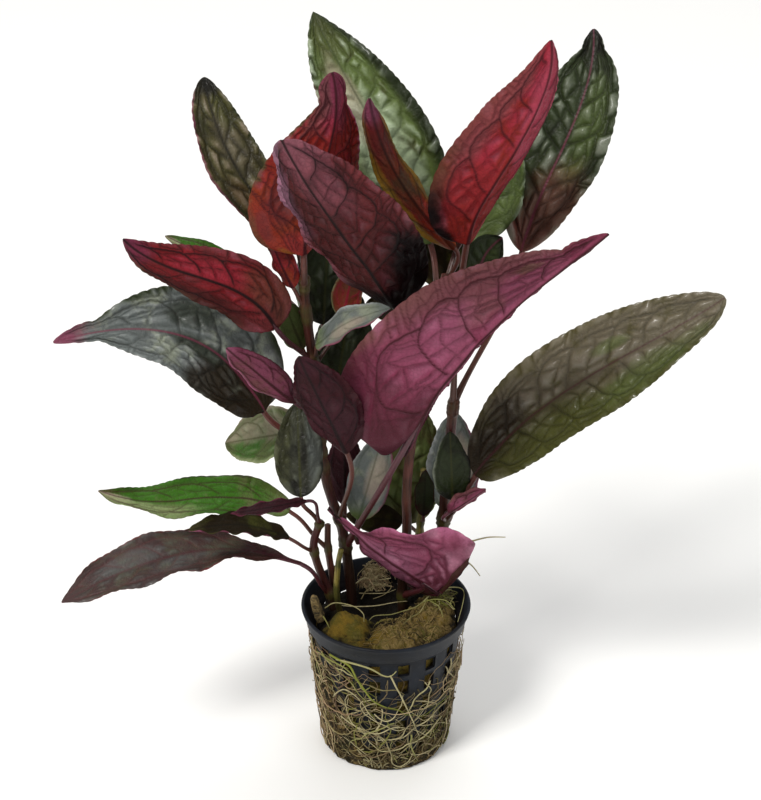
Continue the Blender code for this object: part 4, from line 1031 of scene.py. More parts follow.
def stem_finish(name):
    """The finish of a stem: streaks along it, darker clouds, a dark foot and greener nodes"""
    title = f"{name}_bark"
    if title in bpy.data.materials:
        return bpy.data.materials[title]
    base, cloudy = STEM_COLORS[name]
    graph = Graph(title)
    along, node = graph.kept("share")[1:]
    cloud = graph.noise(130.0, 4.0)
    grain = graph.noise(1500.0, 3.0)
    streaks = graph.stretched_noise(1400.0, 1400.0, 90.0)
    color = graph.mix(graph.step(cloud, 0.38, 0.62), colour(base), colour(cloudy))
    color = graph.mix(graph.step(streaks, 0.45, 0.65) * 0.6, color, colour("black_wine"))
    color = graph.mix((1.0 - graph.step(along + (cloud - 0.5) * 0.4, 0.05, 0.5)) * 0.9, color,
                      colour("stem_foot"))
    color = graph.mix(node * graph.step(cloud, 0.3, 0.6) * 0.7, color, colour("moss"))
    normal = graph.bump(streaks + grain * 0.5, 0.0003, 0.7)
    return graph.surface(color, 0.45 + (cloud - 0.5) * 0.2, normal, Specular_IOR_Level=0.25)


def pot_finish():
    """Matt blue-black plastic with a fine grain, dust in clouds and an inside darkened as painted shade
    and for damp
    """
    graph = Graph("matt_plastic")
    inside = graph.kept("share")[0]
    cloud = graph.noise(60.0, 4.0)
    dust = graph.noise(420.0, 4.0, 0.6)
    grain = graph.noise(4200.0, 2.0)
    color = graph.mix(graph.step(cloud + dust * 0.4, 0.5, 0.9) * 0.6, colour("pot"),
                      colour("pot_bloom"))
    color = graph.mix(graph.step(dust, 0.6, 0.85) * 0.15, color, colour("taupe"))
    color = graph.mix(graph.step(cloud, 0.5, 0.8) * 0.5, color, colour("black_green"))
    # Painted shade, with some damp: the inside of the wall darkened nearly to black
    color = graph.mix(inside * 0.85, color, colour("black_wine"))
    normal = graph.bump(grain * 0.5 + dust, 0.00012, 0.5)
    roughness = 0.5 + (cloud - 0.5) * 0.3 + (dust - 0.5) * 0.15 + inside * 0.3
    return graph.surface(color, roughness, normal, Specular_IOR_Level=0.18)


def wool_finish():
    """Stone wool: a mustard lump at the left, a browner one at the right, painted shade in its low
    hollows and fine matted fibres"""
    graph = Graph("stone_wool")
    rise, brown = graph.kept("share")[:2]
    cloud = graph.noise(190.0, 4.0, 0.55)
    lumps = graph.noise(700.0, 4.0, 0.65)
    threads = graph.cells(2600.0)
    color = graph.mix(graph.step(cloud, 0.4, 0.62), colour("wool"), colour("wool_green"))
    color = graph.mix(brown * graph.step(lumps, 0.3, 0.6), color, colour("wool_brown"))
    color = graph.mix(graph.step(cloud + lumps, 1.08, 1.3) * (0.25 + 0.5 * brown), color,
                      colour("wool_pale"))
    # Painted shade: the lower a place stands, the darker it is painted
    dark = 1.0 - graph.step(rise + (lumps - 0.5) * 0.7 + (cloud - 0.5) * 0.5, 0.1, 0.62)
    color = graph.mix(dark, color, colour("wool_dark"))
    color = graph.mix((1.0 - graph.step(threads, 0.0, 0.2)) * 0.4, color, colour("wool_dark"))
    normal = graph.bump(lumps + threads * 0.6, 0.0009, 1.0)
    return graph.surface(color, 0.93, normal, Specular_IOR_Level=0.2)


def dry_wool_finish():
    """Dry pale wool with fine lines along it"""
    graph = Graph("dry_wool")
    lumps = graph.noise(900.0, 4.0, 0.65)
    lines = graph.stretched_noise(300.0, 300.0, 2200.0)
    color = graph.mix(graph.step(lumps, 0.3, 0.7), colour("wool_brown"), colour("wool_dark"))
    color = graph.mix(graph.step(lines, 0.48, 0.62) * 0.7, color, colour("wool_pale"))
    return graph.surface(color, 0.92, graph.bump(lumps + lines, 0.0006, 1.0))


def fibre_finish(name, pale, middle, dark):
    """The finish of roots and fibres: each strand keeps its own tone from dark to pale"""
    graph = Graph(name)
    tone, green, warm = graph.kept("share")
    grain = graph.noise(1800.0, 3.0)
    cloud = graph.noise(300.0, 2.0)
    mixed = tone + (grain - 0.5) * 0.3 + (cloud - 0.5) * 0.5
    color = graph.mix(graph.step(mixed, 0.0, 0.5), colour(dark), colour(middle))
    color = graph.mix(graph.step(mixed, 0.5, 1.0), color, colour(pale))
    color = graph.mix(warm * 0.7, color, colour("root_warm"))
    color = graph.mix(green, color, colour("root_green"))
    normal = graph.bump(grain, 0.00015, 0.6)
    return graph.surface(color, 0.6 + (grain - 0.5) * 0.3, normal, 0.05, colour(pale),
                         Specular_IOR_Level=0.25)


def mat_finish():
    """Matted old roots and peat: dark brown, rough and threaded with paler strands"""
    graph = Graph("root_peat")
    cloud = graph.noise(220.0, 4.0)
    lumps = graph.noise(900.0, 4.0, 0.65)
    threads = graph.cells(1300.0)
    color = graph.mix(graph.step(lumps, 0.4, 0.75), colour("root_dark"), colour("wool_brown"))
    color = graph.mix(graph.step(cloud, 0.5, 0.7) * 0.5, color, colour("moss"))
    color = graph.mix((1.0 - graph.step(threads, 0.0, 0.1)) * 0.35, color, colour("root"))
    color = graph.mix(graph.step(cloud - lumps * 0.4, 0.18, 0.4) * 0.8, color, colour("black_green"))
    normal = graph.bump(lumps + threads, 0.0008, 1.0)
    return graph.surface(color, 0.9, normal, Specular_IOR_Level=0.15)


def blade_frame(leaf, at):
    """Midrib points with the along, right and up directions of a blade: a cubic curve
    from base to tip, bowed and swayed at one and two thirds of its length"""
    base, tip = np.array(leaf.base, float), np.array(leaf.tip, float)
    chord = tip - base
    along = chord / np.linalg.norm(chord)
    face = np.array(leaf.face, float)
    up = unit(face - face.dot(along) * along)
    right = np.cross(along, up)
    first = base + chord / 3 + up * leaf.bow[0] + right * leaf.sway[0]
    second = tip - chord / 3 + up * leaf.bow[1] + right * leaf.sway[1]
    rib, tangent = bezier((base, first, second, tip), at)
    flat_up = unit(up - (tangent @ up)[:, None] * tangent)
    return rib, tangent, np.cross(tangent, flat_up), flat_up


def blade_span(leaf):
    """Straight length of a blade from base to tip"""
    return float(np.linalg.norm(np.array(leaf.tip) - leaf.base))


def half_width(leaf, at):
    """Half the blade's width: a power of the way from the base times one of the way to the
    tip, or the taper of a drawn-out tip where that is the wider"""
    p, q = leaf.shape
    end, share = leaf.tail
    peak = p / (p + q)
    along = np.minimum(at / end, 1.0)
    blade = (along / peak)**p * ((1 - along) / (1 - peak))**q
    tail = share * np.clip((1 - at) / (1.001 - end), 0.0, 1.0)**0.6 * (at > peak * end)
    return 0.5 * leaf.width * np.maximum(blade, tail)


def stalk_radius(leaf):
    """Radius of a leaf's stalk, thinner on small leaves"""
    return STALK_RADIUS * min(1.0, 0.45 + leaf.width / 60)


def stem_foot(leaf):
    """Where a leaf's stalk starts: a point on the axis of the nearest stem, just below the
    leaf's root, and that stem's name"""
    points, below = 200, 2
    nearest = math.inf
    for stem in STEMS:
        path = smooth_path(stem.path, points)
        gap = np.linalg.norm(path - leaf.root, axis=1)
        if gap.min() < nearest:
            nearest = gap.min()
            place = path[max(0, gap.argmin() - below)]
            name = stem.name
    return place, name


def stalk_rings(leaf, sides_x, sides_z):
    """Rings of a leaf's stalk: a cubic path from the axis of its stem to the foot of the
    blade, thicker where it joins the stem and grooved along its upper side"""
    tangent, up = blade_frame(leaf, np.array((0.0,)))[1::2]
    root, base = np.array(leaf.root, float), np.array(leaf.base, float)
    foot = stem_foot(leaf)[0]
    pull = 0.4 * np.linalg.norm(base - root)
    rows = max(8, int(np.linalg.norm(base - foot) / STALK_STEP))
    at = np.linspace(0, 1, rows, endpoint=False)
    outward = unit(base - root)
    path, slope = bezier((foot, root + outward * pull, base - tangent[0] * pull, base), at)
    flat_up = unit(up[0] - (slope @ up[0])[:, None] * slope)
    flat_right = np.cross(slope, flat_up)
    radius = stalk_radius(leaf) * (1 + 0.35 * np.exp(-(at / 0.12)**2))[:, None, None]
    groove = 1 - 0.3 * np.clip(sides_z, 0, 1)**6
    ring = flat_right[:, None] * sides_x[:, None] + flat_up[:, None] * (sides_z * groove)[:, None]
    return path[:, None] + radius * ring, at


def vein_lines(count, cells, draw, lag):
    """The veins of one half blade as lines of points (across, along), each 0 to 1.

    A side vein is a cubic that leaves the midrib, sweeps out and bends back to end on the
    next one nearer the tip. Finer veins join neighbouring side veins, with a link through
    their middles, and run from the outer side vein to the margin.
    """
    starts = (np.arange(count) + 0.25 + lag) / (count + 0.3) + draw.uniform(-0.1, 0.1, count) / count
    step = 1.0 / count
    even = np.linspace(0, 1, VEIN_POINTS)
    meet = np.array((0.22, 0.985))
    sides = []
    for start in starts[::-1]:
        out = draw.uniform(0.88, 1.02)
        corners = ((0, start), (0.42 * out, start + 0.2 * step), (out, start + 0.45 * step), meet)
        curve = bezier(corners, even)[0]
        sides.append(curve)
        meet = curve[VEIN_MEET]
    sides.reverse()
    fine = []
    foot = np.stack((even * 0.5, np.full(VEIN_POINTS, 0.01)), -1)
    tops = [VEIN_POINTS - 1] + [VEIN_MEET] * (count - 1)
    for low, high, top in zip([foot] + sides[:-1], sides, tops):
        place = (np.arange(cells) + 1 + draw.uniform(-0.25, 0.25, cells)) / (cells + 1)
        begin = np.stack([np.interp(place, even, low[:, axis]) for axis in (0, 1)], -1)
        end = np.stack([np.interp(place * even[top], even, high[:, axis]) for axis in (0, 1)], -1)
        share = draw.uniform(0.35, 0.65, (cells, 1))
        middle = begin + (end - begin) * share + draw.uniform(-0.12, 0.12, (cells, 2)) * (0.6, step)
        fine.extend(np.stack((begin, middle, end), 1))
        rib_end = np.array(((0.0, 0.5 * (low[0, 1] + high[0, 1])),))
        fine.append(np.concatenate((rib_end, middle)))
    for curve in sides:
        rungs = max(2, cells)
        place = (np.arange(rungs) + draw.uniform(0.1, 0.9, rungs)) / rungs * 0.6 + 0.35
        begin = np.stack([np.interp(place, even, curve[:, axis]) for axis in (0, 1)], -1)
        end = np.stack((np.full(rungs, 0.99), begin[:, 1] + draw.uniform(0.05, 0.3, rungs) * step), -1)
        middle = begin + (end - begin) * draw.uniform(0.4, 0.6, (rungs, 1))
        fine.extend(np.stack((begin, middle, end), 1))
        fine.append(middle)
    return sides, fine


def line_distance(places, lines):
    """Distance of each place from the nearest of the lines, each a row of points"""
    best = np.full(len(places), FAR)
    for line in lines:
        for start, way in zip(line[:-1], np.diff(line, axis=0)):
            gap = places - start
            share = np.clip(gap @ way / max(way @ way, 1e-9), 0, 1)
            best = np.minimum(best, np.hypot(gap[:, 0] - share * way[0], gap[:, 1] - share * way[1]))
    return best


def vein_distances(leaf, s, t, span, side_reach):
    """Distance in millimetres of each point of a blade from the side veins and finer veins"""
    count = int(np.clip(round(span / VEIN_PITCH), 3, 7))
    draw = np.random.default_rng(sum(map(ord, leaf.name)))
    major, minor = np.full(s.shape, FAR), np.full(s.shape, FAR)
    ruler = np.linspace(0, 1, 60)
    width = half_width(leaf, np.clip(ruler, 0.02, 0.99))
    uneven = np.stack((t * side_reach, s * span), -1)
    bent_t = t + 0.03 * ripple(uneven, 16.0, 5, 2)
    bent_s = s + 0.9 / span * ripple(uneven, 13.0, 6, 2)
    for sign, share in zip((-1, 1), leaf.halves):
        pitch = 0.5 * leaf.width * share / CELL_PITCH / LOOKS[leaf.name].coarse
        cells = int(np.clip(round(pitch), 1, 6))
        sides, fine = vein_lines(count, cells, draw, 0.3 if sign > 0 else 0.0)
        half = t > 0 if sign > 0 else t <= 0

        def flat(across, along):
            """A place on the half blade in millimetres, from its shares across and along"""
            return np.stack((across * np.interp(along, ruler, width) * share, along * span), -1)

        places = flat(np.abs(bent_t[half]), bent_s[half])
        major[half] = line_distance(places, [flat(*line.T) for line in sides])
        minor[half] = line_distance(places, [flat(*line.T) for line in fine])
    return major, minor


def blade_sheet(leaf, s, t, tooth_depth):
    """The middle sheet of a blade, before its relief, and half its width at each point.

    It is rib + right * side + up * rise + tangent * back, with side = half * t * cos(fold)
    and rise = half * |t| * sin(fold), softened over the midrib. back takes the margins of
    a lobed blade behind its base, and half has the rounded teeth of the margin.
    """
    rib, tangent, right, up = blade_frame(leaf, s)
    grid_s, grid_t = np.meshgrid(s, t, indexing="ij")
    outline = half_width(leaf, np.clip(s, 1e-6, 1))
    turns = math.pi * blade_span(leaf) / TOOTH_PITCH
    teeth = np.abs(np.sin(turns * s + 2 * np.sin(9 * s)))**0.7 - 0.6
    teeth = teeth * tooth_depth * min(1.0, leaf.width / 20) * blend(s, 0.06, 0.2)
    outline = outline + teeth * blend(outline, 0.5, 3.0)
    half = np.hypot(outline, stalk_radius(leaf) * (1 - blend(s, 0.0, 0.15)))[:, None]
    half = half * (1 + (np.where(grid_t < 0, *leaf.halves) - 1) * np.abs(grid_t))
    soft = (np.sqrt(grid_t**2 + 0.01) - 0.1) / 0.905
    angle = np.radians(np.where(grid_t < 0, *leaf.fold))
    side = half * grid_t * np.cos(angle)
    rise = half * soft * np.sin(angle)
    reach = np.sin(0.75 * math.pi * np.abs(grid_t)**0.7)
    back = -leaf.lobe * reach * np.clip(1 - grid_s * 2.5, 0, 1)
    sheet = (rib[:, None] + right[:, None] * side[..., None] + up[:, None] * rise[..., None]
             + tangent[:, None] * back[..., None])
    return sheet, half


def blade_relief(leaf, s, t, half, height):
    """How far each point of a blade is moved along its normal, with the strength there of the
    side veins, the fine veins and the blisters, and the share of the relief, which fades
    out at both ends.

    A blister rises from 0 on the veins as 1 - (1 - room)^2 to its full height, which
    varies in slow ripples. The margin waves as a sine times t^4.
    """
    look = LOOKS[leaf.name]
    seed = sum(map(ord, leaf.name))
    span = blade_span(leaf)
    major, minor = vein_distances(leaf, s, t, span, 0.5 * leaf.width)
    off_middle = np.abs(t) * half
    room = np.minimum(np.minimum(major, 1.15 * minor + 0.15), off_middle)
    dome = 1 - (1 - np.clip(room / DOME_REACH, 0, 1))**2
    flat = np.stack((t * half, s * span), -1)
    swell = (0.7 + 0.5 * ripple(flat, 12.0, len(leaf.name), 2)) * min(1.0, leaf.width / 22)
    inner = blend(s, 0.0, 0.1) * (1 - blend(s, 0.9, 1.0))
    off_rib = blend(off_middle, 0.3, 1.6)
    lift = look.relief * height * (dome * swell - 0.5) * inner * off_rib
    lift = lift * (1 - 0.75 * t**8) - 0.35 * (1 - off_rib) * inner * look.relief
    waves = np.sin(2 * math.pi * (look.waves * s + 0.37 * np.sign(t)) + seed)
    lift = lift + look.wave_height * waves * t**4 * inner
    lift = lift + 0.5 * ripple(flat, 24.0, seed + 2, 2) * look.wave_height
    drawn = off_rib * blend(s, 0.0, 0.03) * (1 - blend(s, 0.94, 1.0))
    side_vein = (1 - blend(major, 0.05, 0.46)) * drawn
    fine_vein = (1 - blend(minor, 0.0, 0.36)) * drawn
    return lift, side_vein, fine_vein, dome * swell, inner


def build_leaf(leaf, sizes):
    """One leaf as a closed skin: an upper and an under side that meet at a thin margin.

    Both sides are the middle sheet, moved along its normal by the relief and by half the
    thickness. The midrib and the veins stand out of the under side. Near the base the
    blade turns into the round stalk, whose rings go on in the same columns.
    """
    look = LOOKS[leaf.name]
    step = sizes.mesh_step / MM
    half_columns = max(8, int(math.ceil(0.5 * leaf.width / step)))
    even = np.linspace(-1, 1, 2 * half_columns + 1)
    t = 0.55 * even + 0.45 * np.sin(0.5 * math.pi * even)
    rows = max(30, int(1.06 * blade_span(leaf) / step))
    s = np.linspace(0, 1, rows)**0.96 * 0.998
    grid_s, grid_t = np.meshgrid(s, t, indexing="ij")
    sheet, half = blade_sheet(leaf, s, t, sizes.tooth_depth / MM)
    normal = unit(np.cross(np.gradient(sheet, axis=1), np.gradient(sheet, axis=0)))
    relief = blade_relief(leaf, grid_s, grid_t, half, sizes.relief / MM)
    lift, side_vein, fine_vein, dome, inner = relief
    thick = sizes.blade_thickness / MM * (1 - 0.55 * grid_t**2)
    midrib = RIB_HEIGHT * (1 - 0.75 * grid_s) * np.exp(-(grid_t * half / RIB_WIDTH)**2)
    midrib = midrib * min(1.0, leaf.width / 20)
    ridge = (0.2 * side_vein + 0.07 * fine_vein) * inner
    round_part = 1 - blend(grid_s, 0.0, 0.12)
    circle = stalk_radius(leaf) * np.sqrt(np.clip(1 - grid_t**2, 0, 1))
    closed = np.clip(1 - grid_t**24, 0, 1)
    top = lift + closed * (0.5 * thick * (1 - round_part)) + circle * round_part
    under = lift - closed * ((0.5 * thick + midrib + ridge) * (1 - round_part)) - circle * round_part
    upper_side = sheet + normal * top[..., None]
    under_side = sheet + normal * under[..., None]
    blade = np.concatenate((upper_side, under_side[:, -2:0:-1]), axis=1)
    sides_x = np.concatenate((t, t[-2:0:-1]))
    sides_z = np.concatenate((np.sqrt(1 - t**2), -np.sqrt(1 - t[-2:0:-1]**2)))
    stalk, stalk_at = stalk_rings(leaf, sides_x, sides_z)
    points = np.concatenate((stalk, blade))
    sides = len(sides_x)
    quads, caps = ring_faces(1, len(points), sides)
    column = np.arange(len(quads)) % sides
    row = np.arange(len(quads)) // sides
    kinds = np.where(column < 2 * half_columns, 0, 1)
    kinds = np.where(row < len(stalk), 2, kinds)

    def around(*upper):
        """Values of the upper side carried round to the under side, as one vector"""
        both = [np.concatenate((one, one[:, -2:0:-1]), axis=1) for one in upper]
        return np.stack(both, -1)

    share = np.zeros((len(points), sides, 3))
    share[:len(stalk), :, 1] = stalk_at[:, None] - 1
    share[:, :, 0] = sides_x
    share[len(stalk):, :, 1:] = around(grid_s, grid_t * half)
    vein = np.zeros((len(points), sides, 3))
    vein[len(stalk):] = around(side_vein, fine_vein, dome)
    finishes = (blade_finish(look.upper), blade_finish(look.under), stalk_finish(look.stalk))
    kinds = np.concatenate((kinds, (2, 0)))
    add_piece(f"{leaf.name}_skin", points, (quads, caps), finishes, (leaf.name,), leaf.color,
              {"share": share, "vein": vein}, kinds)


def build_stem(stem):
    """One stem: a tube with four soft ridges that swells to a ringed node at each stalk"""
    rows = int(sum(np.linalg.norm(np.diff(np.array(stem.path, float), axis=0), axis=1)) / STEM_STEP)
    path = smooth_path(stem.path, rows)
    at = np.linspace(0, 1, rows)
    radius = stem.radius * (1 - 0.2 * at)
    node = np.zeros(rows)
    for leaf in LEAVES:
        place, name = stem_foot(leaf)
        if name == stem.name:
            distance = np.linalg.norm(path - place, axis=1)
            node = np.maximum(node, np.exp(-(distance / NODE_REACH)**2))
            radius = radius + 0.08 * stem.radius * np.exp(-((distance - 0.8) / 0.5)**2)
    radius = radius * (1 + 0.24 * node)
    angle = np.arange(STEM_SIDES) * 2 * math.pi / STEM_SIDES
    points = tubes(path[None], radius[None], np.array((0.0, 1.0, 0.0)), STEM_SIDES)[0]
    uneven = 1 + 0.05 * np.cos(4 * angle) + 0.05 * ripple(points, 9.0, 5, 2)
    points = path[:, None] + (points - path[:, None]) * uneven[..., None]
    share = np.zeros((rows, STEM_SIDES, 3))
    share[..., 0] = np.cos(angle)
    share[..., 1] = at[:, None]
    share[..., 2] = node[:, None]
    add_piece(f"{stem.name}_bark", points, ring_faces(1, rows, STEM_SIDES), (stem_finish(stem.color),),
              (stem.name,), stem.color, {"share": share})


def wall_radius(height):
    """Outside radius of the tapered pot wall at a height"""
    return WALL_BASE_RADIUS + (WALL_TOP_RADIUS - WALL_BASE_RADIUS) * height / (POT_HEIGHT - RIM_HEIGHT)


def build_pot():
    """The net pot: a profile turned about Z, outside and inside, with the windows left out of
    the wall. Each edge of an opening is joined by a face to the same edge of the inner skin"""
    band = POT_HEIGHT - RIM_HEIGHT
    middles = FIRST_WINDOW + np.arange(WINDOW_COLUMNS) * 360 / WINDOW_COLUMNS
    bar = 360 / WINDOW_COLUMNS - WINDOW_ANGLE
    steps = np.concatenate((np.linspace(-0.5, 0.5, WINDOW_STEPS + 1) * WINDOW_ANGLE,
                            0.5 * WINDOW_ANGLE + np.linspace(0, 1, BAR_STEPS + 1)[1:-1] * bar))
    angle = np.radians((middles[:, None] + steps).ravel())
    open_column = np.tile(np.arange(len(steps)) < WINDOW_STEPS, WINDOW_COLUMNS)
    heights = [FLOOR]
    for low, high in WINDOW_ROWS[::-1]:
        heights.extend((low, 0.5 * (low + high), high))
    heights.append(band - 0.4)
    heights = np.array(heights)
    open_row = np.array([any(low <= z < high for low, high in WINDOW_ROWS) for z in heights[:-1]])
    below = ((0.0, WALL_BASE_RADIUS - 0.6), (0.15, WALL_BASE_RADIUS - 0.15), (0.6, WALL_BASE_RADIUS))
    rim = ((band, WALL_TOP_RADIUS + 0.15), (band + 0.1, WALL_TOP_RADIUS + 1.0),
           (band + 0.6, WALL_TOP_RADIUS + 1.3), (POT_HEIGHT - 1.6, RIM_RADIUS - 0.75),
           (POT_HEIGHT - 1.3, RIM_RADIUS - 0.25), (POT_HEIGHT - 0.5, RIM_RADIUS - 0.02),
           (POT_HEIGHT - 0.15, RIM_RADIUS - 0.1), (POT_HEIGHT, RIM_RADIUS - 0.4),
           (POT_HEIGHT - 0.05, RIM_RADIUS - 0.85), (POT_HEIGHT - 0.5, RIM_RADIUS - 1.05))
    inside = ((band + 1.2, WALL_TOP_RADIUS + 0.15), (band + 0.4, WALL_TOP_RADIUS - 0.6))
    outer = [(z, wall_radius(z)) for z in heights]
    inner = [(z, wall_radius(z) - WALL) for z in heights[::-1]]
    profile = np.array([*below, *outer, *rim, *inside, *inner])
    rows, columns = len(profile), len(angle)
    points = around_pot(profile[:, 1:], angle, profile[:, :1])
    index = np.arange(rows * columns).reshape(rows, columns)
    right = np.roll(index, -1, 1)
    quads = np.stack((index[:-1], right[:-1], right[1:], index[1:]), -1)
    first_outer = len(below)
    first_inner = rows - len(inner)
    cut = np.zeros((rows - 1, columns), bool)
    spans = len(heights) - 1
    opening = open_row[:, None] & open_column
    cut[first_outer:first_outer + spans] = opening
    cut[first_inner:first_inner + spans] = opening[::-1]
    skin = quads[~cut]
    out = index[first_outer:first_outer + spans + 1]
    back = index[first_inner:first_inner + spans + 1][::-1]
    turned = np.roll(opening, 1, 1)
    above = np.vstack((opening[1:], np.zeros((1, columns), bool)))
    under = np.vstack((np.zeros((1, columns), bool), opening[:-1]))
    reveals = []
    for edge, start, end in ((opening & ~turned, (0, 0), (1, 0)), (turned & ~opening, (1, 0), (0, 0)),
                             (opening & ~under, (0, 1), (0, 0)), (opening & ~above, (1, 0), (1, 1))):
        row, column = np.nonzero(edge)
        first = (row + start[0], (column + start[1]) % columns)
        second = (row + end[0], (column + end[1]) % columns)
        reveals.append(np.stack((out[first], out[second], back[second], back[first]), -1))
    caps = (index[0, ::-1][None], index[-1][None])
    share = np.zeros((rows, columns, 3))
    # Marks the inside of the wall, which the pot's finish darkens as painted shade and for damp
    share[first_inner - len(inside):, :, 0] = 1.0
    add_piece("pot_shell", points, (skin, *reveals, *caps), (pot_finish(),), ("pot",), "pot",
              {"share": share})


def wool_height(x, y):
    """Top of the wool: the rim level with a rounded rise or hollow at each lump"""
    height = np.full(np.shape(x), WOOL_RIM_LEVEL)
    for lump_x, lump_y, radius, rise in WOOL_LUMPS:
        height = height + rise * np.exp(-((x - lump_x)**2 + (y - lump_y)**2) / radius**2)
    return height


def wool_top(x, y):
    """The wool's broken surface: its lumps with clefts between them and a matted grain"""
    flat = np.stack((x, y), -1)
    cleft = np.exp(-((x - 0.14 * y + 3.5) / 0.9)**2) * np.exp(-((y + 9) / 5)**2)
    rough = 0.85 + 0.4 * blend(x, -4.0, 2.0)
    grain = rough * ripple(flat, 6.0, 11, 3) + 0.5 * rough * ripple(flat, 2.4, 12, 3)
    edge = blend(np.hypot(x, y), 18.0, 21.0)
    front = blend(-y, 12.0, 18.0)
    height = wool_height(x, y) - 1.6 * cleft + grain * (1 - 0.5 * edge) - (0.7 + 3.0 * front) * edge
    return np.maximum(height, WOOL_EDGE_LEVEL * edge * (1 - front))


def build_wool():
    """The plug of stone wool: a tapered side and a lumpy top over a polar grid"""
    angle = np.arange(WOOL_COLUMNS) * 2 * math.pi / WOOL_COLUMNS
    side_z = np.linspace(WOOL_FLOOR, WOOL_SHOULDER, 50)[:, None]
    side_r = wall_radius(side_z) - WALL - WOOL_CLEARANCE
    side = around_pot(side_r, angle, side_z)
    pit = 0.5 * (ripple(side, 5.0, 3, 3) - 1.0)
    side[..., :2] *= (1 + pit / side_r * 0.8)[..., None]
    share_r = np.linspace(1, 0.01, 62)[1:, None]
    top = around_pot(side_r[-1] * share_r, angle, 0.0)
    x, y = top[..., 0], top[..., 1]
    top[..., 2] = wool_top(x, y)
    points = np.concatenate((side, top))
    rows = len(points)
    share = np.zeros((rows, WOOL_COLUMNS, 3))
    # The first value is how high a place stands, lower in the pits of the side; the wool's finish
    # paints shade where it is low
    share[:len(side), :, 0] = 0.65 + 0.4 * pit
    share[len(side):, :, 0] = np.clip((top[..., 2] - WOOL_RIM_LEVEL + 0.6) / 4.5, 0, 1)
    share[len(side):, :, 1] = blend(x, -5.0, 1.0)
    add_piece("wool_matted", points, ring_faces(1, rows, WOOL_COLUMNS), (wool_finish(),),
              ("wool_plug",), "wool", {"share": share})


def build_fibres(count, finish):
    """Loose fibres on the right lump of the wool: short curled threads that follow its top"""
    draw = np.random.default_rng(21)
    rows = FIBRE_ROWS
    radius, turn = 17.0 * np.sqrt(draw.uniform(0, 1, count)), draw.uniform(-1.9, 0.6, count)
    heading = draw.uniform(0, 2 * math.pi, count)
    bend = np.cumsum(draw.normal(0, 0.45, (count, rows)), axis=1)
    step = draw.uniform(0.15, 0.55, count)[:, None]
    x = (radius * np.cos(turn))[:, None] + np.cumsum(step * np.cos(heading[:, None] + bend), axis=1)
    y = (radius * np.sin(turn))[:, None] + np.cumsum(step * np.sin(heading[:, None] + bend), axis=1)
    pull = np.minimum(1.0, FIBRE_REACH / np.maximum(np.hypot(x, y), 1e-6))
    x, y = x * pull, y * pull
    lift = 0.05 + 0.6 * np.sin(np.linspace(0, math.pi, rows)) * draw.uniform(0, 1, count)[:, None]
    paths = np.stack((x, y, wool_top(x, y) + lift), -1)
    thin = draw.uniform(0.05, 0.12, count)[:, None] * (1 - 0.6 * np.linspace(0, 1, rows)**4)
    share = (draw.uniform(0, 1, count)**1.3 * 0.9, draw.uniform(0, 1, count)**4 * 0.6)
    add_threads("wool_fibres", paths, thin, (0.1, 0.2, 1.0), 4, share, finish, "wool")


def build_wedge():
    """The pale wedge of wool: its outline rounded and carried through its depth"""
    profile = np.array(WEDGE_PROFILE + WEDGE_PROFILE[:1], float)
    outline = smooth_path(profile, WEDGE_SIDES + 1)[:-1]
    middle = outline.mean(0)
    depth = np.linspace(WEDGE_FRONT, WEDGE_BACK, WEDGE_LAYERS)[:, None]
    round_ends = np.sqrt(np.clip(1 - (np.linspace(-0.97, 0.97, WEDGE_LAYERS))**6, 0, 1))
    flat = middle + (outline - middle) * round_ends[:, None, None]
    points = np.stack(np.broadcast_arrays(flat[..., 0], depth, flat[..., 1]), -1)
    uneven = ripple(points, 4.0, 31, 3)
    points = points + unit(points - points.mean((0, 1))) * (0.3 * uneven - 0.3)[..., None]
    share = np.zeros(points.shape)
    share[..., 0] = 0.8 + 0.2 * uneven
    quads, caps = ring_faces(1, WEDGE_LAYERS, WEDGE_SIDES)
    add_piece("wedge_matted", points, (quads[:, ::-1], caps[:, ::-1]), (dry_wool_finish(),),
              ("wool_wedge",), "wedge", {"share": share})


def mat_top(angle):
    """Height that the matted roots reach at an angle round the pot, in degrees from +X"""
    return np.interp(np.asarray(angle) % 360, *zip(*ROOT_MAT_TOP))


def build_peat():
    """The peat of old roots round the pot's foot: a closed skin carried round the pot, whose
    outside is the wall's radius plus a lumpy thickness that runs out at its top"""
    turn = np.arange(PEAT_COLUMNS) * 360 / PEAT_COLUMNS
    spin = np.radians(turn)
    lumps = ripple(around_pot(MAT_RADIUS, spin, 0.0)[:, :2], 9, 41, 3)
    reach = np.interp(turn, *zip(*PEAT_TOP)) * (1 + 0.3 * lumps)
    at = np.linspace(0, 1, PEAT_ROWS)[:, None]
    height = ROOT_MAT_BOTTOM + at * (reach - ROOT_MAT_BOTTOM)
    bulge = 0.5 + 0.5 * ripple(around_pot(MAT_RADIUS, spin, height), 8.0, 42, 4)
    left = np.interp(turn, *zip(*PEAT_BULGE))
    thick = (0.15 + 1.3 * left * bulge) * np.sqrt(np.clip(1 - at**3, 0, 1)) + 0.05
    out = wall_radius(height) + 0.1 + np.minimum(thick, PEAT_THICKEST)
    inner = wall_radius(height) + 0.08
    radius = np.concatenate((out, inner[::-1]))
    height = np.concatenate((height, height[::-1]))
    points = around_pot(radius, spin, height).transpose(1, 0, 2)
    index = np.arange(points[..., 0].size).reshape(PEAT_COLUMNS, 2 * PEAT_ROWS)
    ahead = np.roll(index, -1, 0)
    quads = np.stack((index, ahead, np.roll(ahead, -1, 1), np.roll(index, -1, 1)), -1).reshape(-1, 4)
    add_piece("root_peat", points, (quads,), (mat_finish(),), ("root_mat",), "roots")


